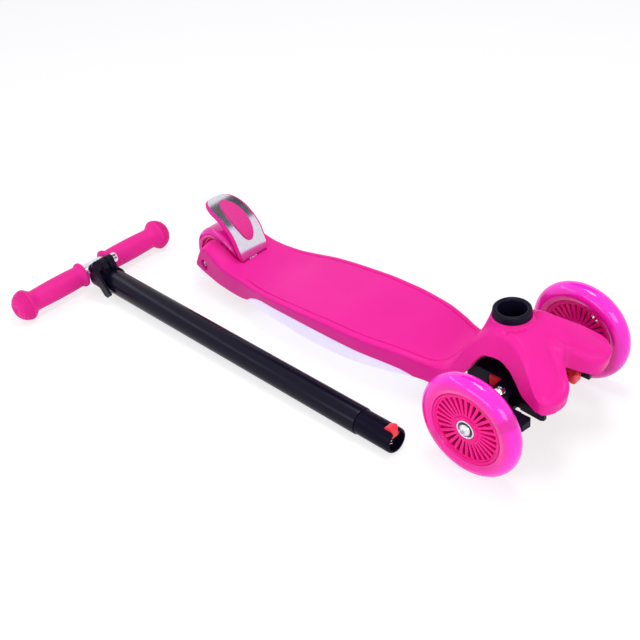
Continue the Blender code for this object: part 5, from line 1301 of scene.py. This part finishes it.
def foot_brake(sizes):
    """The brake's moulding with its hinge eyes, the metal plate on it and the pad on that."""
    hinge = Matrix.Translation(DECK_DATUM + BRAKE_HINGE)
    fender = brake_sheet("brake_moulding", "shell_pink", brake_line(0), lambda share: brake_width(share, 0),
                         sizes.brake_wall, hinge, "brake_fender")
    width = BRAKE_FOOT_HALF
    across = hinge @ ALONG_Y
    carve(fender,
          ("UNION", tool(box_shape((0.0005, -width, -0.0005), (0.0035, width, 0.012)), hinge)),
          ("UNION", tool(rod_shape(0.0044, -width, width), across)),
          ("DIFFERENCE", tool(rod_shape(0.0068, -0.0085, 0.0085), across)),
          ("DIFFERENCE", tool(rod_shape(BRAKE_PIN_HOLE, -0.03, 0.03), across)))
    soften(fender, 0.0007, 3)
    rise = sizes.brake_wall + GAP
    raised = [(share, point) for share, point in brake_line(rise) if 0.030 <= share <= 0.955]
    plate = brake_sheet("brake_plate", "brake_plate", raised, lambda share: brake_width(share, 0.0028),
                        sizes.plate_wall, hinge, "fender_plate")
    soften(plate, 0.0004)
    upper = [(share, point) for share, point in brake_line(rise + sizes.plate_wall + GAP)
             if 0.249 <= share <= 0.814]
    first, last = upper[0][0], upper[-1][0]

    def pad_width(share):
        along = (share - first) / (last - first)
        return 0.0004 + 0.0118 * sqrt(max(0.0, sin(pi * min(0.995, max(0.005, along ** 1.15)))))

    pad = brake_sheet("brake_pad", "pad_rubber", upper, pad_width, 0.0020, hinge, "fender_pad")
    soften(pad, 0.0007, 3)


# ---------------------------------------------------------------------------------------------
# T-bar
# ---------------------------------------------------------------------------------------------

def column_pipe():
    """The painted tube, with softened rims."""
    bore = COLUMN_RADIUS - COLUMN_WALL
    profile = [(bore, COLUMN_START + 0.0004), (bore + 0.0003, COLUMN_START),
               (COLUMN_RADIUS - 0.0004, COLUMN_START), (COLUMN_RADIUS, COLUMN_START + 0.0005),
               (COLUMN_RADIUS, COLUMN_END - 0.0012),
               (COLUMN_RADIUS - 0.0003, COLUMN_END - 0.0004), (COLUMN_RADIUS - 0.0009, COLUMN_END),
               (bore, COLUMN_END)]
    piece("column_pipe", lathe(profile, 96), "column_paint", TBAR @ ALONG_X, "column", "column_tube")


def socket_plug():
    """The plug that goes into the deck's socket, slotted for the catch."""
    spigot = COLUMN_RADIUS - COLUMN_WALL - GAP
    inside, shoulder, floor = COLUMN_END - 0.050, COLUMN_END + GAP, CATCH_X - 0.022
    profile = [(0, inside), (spigot - 0.001, inside), (spigot, inside + 0.001), (spigot, shoulder),
               (PLUG_RADIUS - 0.0004, shoulder), (PLUG_RADIUS, shoulder + 0.0005),
               (PLUG_RADIUS, PLUG_END - 0.0030), (PLUG_RADIUS - 0.0004, PLUG_END - 0.0012),
               (PLUG_RADIUS - 0.0012, PLUG_END - 0.0003), (PLUG_RADIUS - 0.0020, PLUG_END),
               (PLUG_BORE + 0.0004, PLUG_END), (PLUG_BORE, PLUG_END - 0.0005), (PLUG_BORE, floor + 0.001),
               (PLUG_BORE - 0.001, floor), (0, floor)]
    plug = piece("socket_plug", lathe(profile, 96), "plug_plastic", TBAR @ ALONG_X, "column", "column_plug")
    slot = box_shape((CATCH_X - 0.0025, -0.0052, 0), (PLUG_END + 0.010, 0.0052, 0.03))
    carve(plug, ("DIFFERENCE", tool(slot, TBAR)))


def release_catch():
    """The catch's button with the flange that holds it in the plug's bore."""
    place = TBAR @ Matrix.Translation((CATCH_X, 0, 0))
    top, front, rear = PLUG_RADIUS + 0.0048, 0.0095, -0.0015
    flange_half, flange_foot = 0.0078, 0.0045
    side_view = [(rear, 0.005), (front, 0.005), (front, top - 0.0024), (front - 0.0006, top - 0.0008),
                 (front - 0.0020, top), (front - 0.0036, top - 0.0001), (rear + 0.0012, 0.0162),
                 (rear, 0.0152)]
    catch = piece("catch_button", prism(side_view, -0.0049, 0.0049), "red_plastic", place @ outward(-1),
                  "catch", "release_catch")
    flange_top = sqrt(PLUG_BORE ** 2 - flange_half ** 2) - GAP
    flange = box_shape((0.001 - front, -flange_half, flange_foot), (front - 0.001, flange_half, flange_top))
    carve(catch, ("UNION", tool(flange, place)))
    soften(catch, 0.0005)


def clamp_nut():
    """The nut on the clamp's skewer, a plain turned form."""
    bore, start, end = 0.0028, 0.0098, 0.0173
    profile = [(bore, start), (0.0060, start), (0.0065, start + 0.0005), (0.0065, end - 0.0016),
               (0.0058, end - 0.0006), (0.0044, end), (0.0034, end), (bore, end - 0.0006)]
    piece("clamp_nut", lathe(profile, 48), "bright_steel",
          TBAR @ Matrix.Translation((CLAMP_X, 0, 0.0245)) @ ALONG_Y, "column", "qr_nut")


def t_handle(sizes):
    """Stem and handlebar welded into a T, with the weld bead where the bar leaves the stem."""
    stem, bar = sizes.stem_radius, sizes.bar_radius
    profile = [(0, 0), (stem - 0.0026, 0), (stem - 0.0012, 0.0005), (stem - 0.0003, 0.0015), (stem, 0.0030),
               (stem, STEM_END - 0.0006), (stem - 0.0005, STEM_END), (stem - 0.0015, STEM_END),
               (stem - 0.0015, bar + 0.003), (0, bar + 0.002)]
    handle = piece("t_handle_tube", lathe(profile, 96), "handle_tube", TBAR @ ALONG_X, "handle", "t_handle")
    tube = tool(rod_shape(bar, -BAR_HALF, BAR_HALF, 96), TBAR @ ALONG_Y)
    bore = tool(rod_shape(bar - 0.0015, -0.15, 0.15, 64), TBAR @ ALONG_Y)
    carve(handle, ("UNION", tube), ("DIFFERENCE", bore))
    bead = bmesh.new()
    for side in (1, -1):
        points = []
        for a in np.linspace(-0.5 * pi, 0.5 * pi, 48):
            ripple = 1 + 0.012 * sin(26 * a)
            x, z = bar * cos(a) * ripple, bar * sin(a) * ripple
            points.append(Vector((x, side * sqrt(stem * stem - z * z), z)))
        tube_along(bead, points, 0.0011)
    piece("weld_bead", bead, "handle_tube", TBAR, "handle")


def grip_outline(sizes):
    """(radius, place) points of a grip: inner flange, waist, and a ringed bell with a dished cap."""
    bore, start, end, waist = sizes.bar_radius + GAP, GRIP_START, GRIP_END, sizes.grip_radius
    bell = end - 0.0175
    outline = [(0, end - 0.005), (bore, end - 0.005), (bore, start + 0.0004), (bore + 0.0005, start),
               (0.0162, start), (0.0168, start + 0.0004), (0.0170, start + 0.0012), (0.0170, start + 0.0030),
               (0.0167, start + 0.0040), (0.0158, start + 0.0050), (waist + 0.0003, start + 0.0068),
               (waist - 0.0005, start + 0.0085)]
    for i in range(13):
        along = start + 0.0120 + 0.0050 * i
        swell = 0.0009 * sin(pi * min(1.0, (along - start) / 0.075))
        outline.append((waist - 0.0006 + swell, along))
    outline += [(waist - 0.0006, bell - 0.0105), (waist + 0.0002, bell - 0.0085),
                (waist + 0.0014, bell - 0.0065), (waist + 0.0030, bell - 0.0045),
                (waist + 0.0046, bell - 0.0026), (BELL_RADIUS - 0.0009, bell - 0.0010),
                (BELL_RADIUS - 0.0003, bell + 0.0004)]
    depth = (end - bell) / sqrt(1 - (0.0110 / BELL_RADIUS) ** 2)
    ring = ((0.0, 0.0004), (0.12, 0.0002), (0.5, 0.0001), (0.72, 0.0003), (0.80, 0.0017), (0.95, 0.0017))
    for i in range(6):
        for share, sunk in ring:
            along = 0.0012 + 0.0023 * (i + share)
            outline.append((BELL_RADIUS * sqrt(1 - (along / depth) ** 2) - sunk, bell + along))
    return outline + [(0.0122, end - 0.0012), (0.0112, end - 0.0004), (0.0098, end), (0.0080, end),
                      (0.0060, end - 0.0003), (0.0045, end - 0.0011), (0.0028, end - 0.0014),
                      (0.0022, end - 0.0022), (0, end - 0.0022)]


def grips(sizes):
    """Both rubber grips."""
    for word, side in SIDES:
        piece(f"rubber_grip_{word}", lathe(grip_outline(sizes), 72), "grip_rubber", TBAR @ outward(side),
              "handle", f"grip_{word}")


# ---------------------------------------------------------------------------------------------
# Stage
# ---------------------------------------------------------------------------------------------

def stage():
    """Pale floor, soft lamps, white surroundings and the camera."""
    shape = bmesh.new()
    marks = np.linspace(-6.0, 6.0, 24)
    sheet_faces(shape, [[shape.verts.new((x, y, 0)) for x in marks] for y in marks])
    floor = add_object("studio_floor", mesh_of("studio_floor", shape))
    floor.data.materials.append(floor_finish())
    surroundings()
    lamp("key_lamp", (0.15, 0.20, 1.50), (0.6, 0.4), 8.2)
    lamp("front_lamp", (1.35, -0.35, 0.75), (0.8, 0.5), 5.0)
    lamp("side_lamp", (0.15, -1.25, 0.55), (0.9, 0.35), 3.0)
    lamp("strip_lamp", (-0.95, -0.50, 0.92), (1.6, 0.14), 3.0, (0.86, 0.80, 1.0))
    dark_card()
    camera()


def surroundings():
    """A white world where it is seen, and a softer one for the light that it gives."""
    world = bpy.data.worlds.new("studio_world")
    bpy.context.scene.world = world
    world.use_nodes = True
    tree = world.node_tree
    tree.nodes.clear()
    output = tree.nodes.new("ShaderNodeOutputWorld")
    mix = tree.nodes.new("ShaderNodeMixShader")
    tree.links.new(seen_directly(tree), mix.inputs[0])
    for socket, colour, strength in ((mix.inputs[1], (0.96, 0.95, 1.0, 1), 0.58),
                                     (mix.inputs[2], (1.0, 1.0, 1.0, 1), 1.0)):
        background = tree.nodes.new("ShaderNodeBackground")
        background.inputs["Color"].default_value = colour
        background.inputs["Strength"].default_value = strength
        tree.links.new(background.outputs[0], socket)
    tree.links.new(mix.outputs[0], output.inputs["Surface"])


def floor_finish():
    """White floor that takes the object's shadow, and shows as white paper to the camera and in gloss."""
    tree, shader, _ = new_material("studio_paper")
    paper = noise_node(tree, object_coords(tree), 3.0, 4.0)
    tint = blend_node(tree, math_node(tree, "MULTIPLY", paper, 0.03), (0.93, 0.93, 0.94), (0.9, 0.9, 0.92))
    tree.links.new(tint, shader.inputs["Base Color"])
    shader.inputs["Roughness"].default_value = 0.9
    shader.inputs["Specular IOR Level"].default_value = 0.1
    seen = seen_directly(tree)
    glow = tree.nodes.new("ShaderNodeEmission")
    tree.links.new(math_node(tree, "MULTIPLY", seen, 0.70), glow.inputs["Strength"])
    dark = tree.nodes.new("ShaderNodeBsdfDiffuse")
    dark.inputs["Color"].default_value = (0, 0, 0, 1)
    half = tree.nodes.new("ShaderNodeMixShader")
    tree.links.new(math_node(tree, "MULTIPLY", seen, 0.62), half.inputs[0])
    tree.links.new(shader.outputs[0], half.inputs[1])
    tree.links.new(dark.outputs[0], half.inputs[2])
    total = tree.nodes.new("ShaderNodeAddShader")
    tree.links.new(half.outputs[0], total.inputs[0])
    tree.links.new(glow.outputs[0], total.inputs[1])
    tree.links.new(total.outputs[0], tree.nodes["Material Output"].inputs["Surface"])
    return made_material("studio_paper")


def dark_card():
    """A dark card outside the picture that the brake's polished tip mirrors."""
    shape = bmesh.new()
    marks = (-1, -0.5, 0, 0.5, 1)
    sheet_faces(shape, [[shape.verts.new((0.42 * u, 0.30 * v, 0.02 * (u * u + v * v))) for u in marks]
                        for v in marks])
    card = add_object("dark_card", mesh_of("dark_card", shape))
    tree, shader, _ = new_material("card_black")
    grain = noise_node(tree, object_coords(tree), 8.0)
    tint = blend_node(tree, grain, (0.03, 0.03, 0.04), (0.05, 0.05, 0.06))
    tree.links.new(tint, shader.inputs["Base Color"])
    shader.inputs["Roughness"].default_value = 0.9
    card.data.materials.append(made_material("card_black"))
    aim = Vector((-0.20, 0.065, 0.12))
    card.location = aim + 0.9 * Vector((0.056, 0.537, 0.804))
    card.rotation_euler = (aim - card.location).to_track_quat("Z", "Y").to_euler()
    card.visible_camera = False
    card.visible_shadow = False
    card.visible_diffuse = False


def lamp(name, place, area, power, tint=(1.0, 1.0, 1.0)):
    """A rectangular lamp that looks at the middle of the object."""
    light = bpy.data.lights.new(name, "AREA")
    light.shape = "RECTANGLE"
    light.size, light.size_y = area
    light.energy = power
    light.color = tint
    obj = add_object(name, light)
    obj.location = place
    obj.rotation_euler = (Vector((0.0, 0.0, 0.04)) - Vector(place)).to_track_quat("-Z", "Y").to_euler()


def camera():
    """The camera at the photograph's angle. Its axes and place come from the outlines of the wheels."""
    data = bpy.data.cameras.new("photo_camera")
    data.sensor_width = 36.0
    data.lens = 60.77
    data.clip_start, data.clip_end = 0.05, 30.0
    right = Vector((0.7217212, 0.68636443, -0.0895677))
    down = Vector((0.3468762, -0.47061537, -0.81129408))
    forward = Vector((-0.59899534, 0.55445923, -0.57773657))
    turn = Matrix((right, -down, -forward)).transposed()
    obj = add_object("photo_camera", data)
    obj.matrix_world = at(0.503896, -0.755871, 0.785658) @ turn.to_4x4()
    bpy.context.scene.camera = obj


# ---------------------------------------------------------------------------------------------
# Operators, panel and registration
# ---------------------------------------------------------------------------------------------

class SCOOTER_OT_finishes(bpy.types.Operator):
    """Build the shared effects and every material"""
    bl_idname = "scooter.finishes"
    bl_label = "Finishes"

    def execute(self, context):
        grain_group()
        scuff_group()
        brushing_group()
        build_materials(context.scene.scooter_colours)
        return {"FINISHED"}


class SCOOTER_OT_shell(bpy.types.Operator):
    """Build the moulded deck with its fork, groove, head and collar seat"""
    bl_idname = "scooter.shell"
    bl_label = "Deck shell"

    def execute(self, context):
        deck_shell(context.scene.scooter_sizes)
        return {"FINISHED"}


class SCOOTER_OT_light_tray(bpy.types.Operator):
    """Build the translucent tray under the deck"""
    bl_idname = "scooter.light_tray"
    bl_label = "Light tray"

    def execute(self, context):
        light_tray(context.scene.scooter_sizes)
        return {"FINISHED"}


class SCOOTER_OT_kept_nodes(bpy.types.Operator):
    """Give the parts kept from the CAD their finishes and soft edges"""
    bl_idname = "scooter.kept_nodes"
    bl_label = "Steering and inner parts"

    def execute(self, context):
        dress_kept_nodes()
        return {"FINISHED"}


class SCOOTER_OT_collar(bpy.types.Operator):
    """Build the collar that takes the column"""
    bl_idname = "scooter.collar"
    bl_label = "Collar and socket"

    def execute(self, context):
        collar_socket()
        return {"FINISHED"}


class SCOOTER_OT_front_wheels(bpy.types.Operator):
    """Build both front tyres, their spoked cores and their bearings"""
    bl_idname = "scooter.front_wheels"
    bl_label = "Front wheels"

    def execute(self, context):
        front_wheels(context.scene.scooter_sizes)
        return {"FINISHED"}


class SCOOTER_OT_back_wheel(bpy.types.Operator):
    """Build the wide rear tyre, its core and its bearings"""
    bl_idname = "scooter.back_wheel"
    bl_label = "Rear wheel"

    def execute(self, context):
        back_wheel(context.scene.scooter_sizes)
        return {"FINISHED"}


class SCOOTER_OT_fasteners(bpy.types.Operator):
    """Build the bolts and the kingpins"""
    bl_idname = "scooter.fasteners"
    bl_label = "Bolts"

    def execute(self, context):
        fasteners(context.scene.scooter_sizes)
        return {"FINISHED"}


class SCOOTER_OT_foot_brake(bpy.types.Operator):
    """Build the brake's moulding, its metal plate and its pad"""
    bl_idname = "scooter.foot_brake"
    bl_label = "Foot brake"

    def execute(self, context):
        foot_brake(context.scene.scooter_sizes)
        return {"FINISHED"}


class SCOOTER_OT_column(bpy.types.Operator):
    """Build the column, its plug, the catch and the clamp's nut"""
    bl_idname = "scooter.column"
    bl_label = "Column"

    def execute(self, context):
        column_pipe()
        socket_plug()
        release_catch()
        clamp_nut()
        return {"FINISHED"}


class SCOOTER_OT_t_handle(bpy.types.Operator):
    """Build the welded stem and handlebar"""
    bl_idname = "scooter.t_handle"
    bl_label = "T-handle"

    def execute(self, context):
        t_handle(context.scene.scooter_sizes)
        return {"FINISHED"}


class SCOOTER_OT_grips(bpy.types.Operator):
    """Build both handlebar grips"""
    bl_idname = "scooter.grips"
    bl_label = "Grips"

    def execute(self, context):
        grips(context.scene.scooter_sizes)
        return {"FINISHED"}


class SCOOTER_OT_stage(bpy.types.Operator):
    """Build the floor, the lamps, the surroundings and the camera"""
    bl_idname = "scooter.stage"
    bl_label = "Stage"

    def execute(self, context):
        stage()
        return {"FINISHED"}


OPERATORS = (
    SCOOTER_OT_finishes, SCOOTER_OT_shell, SCOOTER_OT_light_tray, SCOOTER_OT_kept_nodes, SCOOTER_OT_collar,
    SCOOTER_OT_front_wheels, SCOOTER_OT_back_wheel, SCOOTER_OT_fasteners, SCOOTER_OT_foot_brake,
    SCOOTER_OT_column, SCOOTER_OT_t_handle, SCOOTER_OT_grips, SCOOTER_OT_stage,
)


class SCOOTER_PT_panel(bpy.types.Panel):
    """Lists the scooter's builders, sizes and colours"""
    bl_idname = "SCOOTER_PT_panel"
    bl_label = "Kick scooter"
    bl_space_type = "VIEW_3D"
    bl_region_type = "UI"
    bl_category = "Scooter"

    def draw(self, context):
        layout = self.layout
        for group in (context.scene.scooter_sizes, context.scene.scooter_colours):
            column = layout.column(align=True)
            for name in group.__annotations__:
                column.prop(group, name)
        column = layout.column(align=True)
        for kind in OPERATORS:
            column.operator(kind.bl_idname)


CLASSES = (ScooterSizes, ScooterColours, *OPERATORS, SCOOTER_PT_panel)


def register():
    for kind in CLASSES:
        bpy.utils.register_class(kind)
    bpy.types.Scene.scooter_sizes = PointerProperty(type=ScooterSizes)
    bpy.types.Scene.scooter_colours = PointerProperty(type=ScooterColours)


def unregister():
    del bpy.types.Scene.scooter_colours
    del bpy.types.Scene.scooter_sizes
    for kind in reversed(CLASSES):
        bpy.utils.unregister_class(kind)


def main():
    """Builds the whole scene."""
    register()
    scene = bpy.context.scene
    scene.view_settings.view_transform = "Standard"
    for kind in OPERATORS:
        getattr(bpy.ops.scooter, kind.bl_idname.split(".")[1])()


if __name__ == "__main__":
    main()
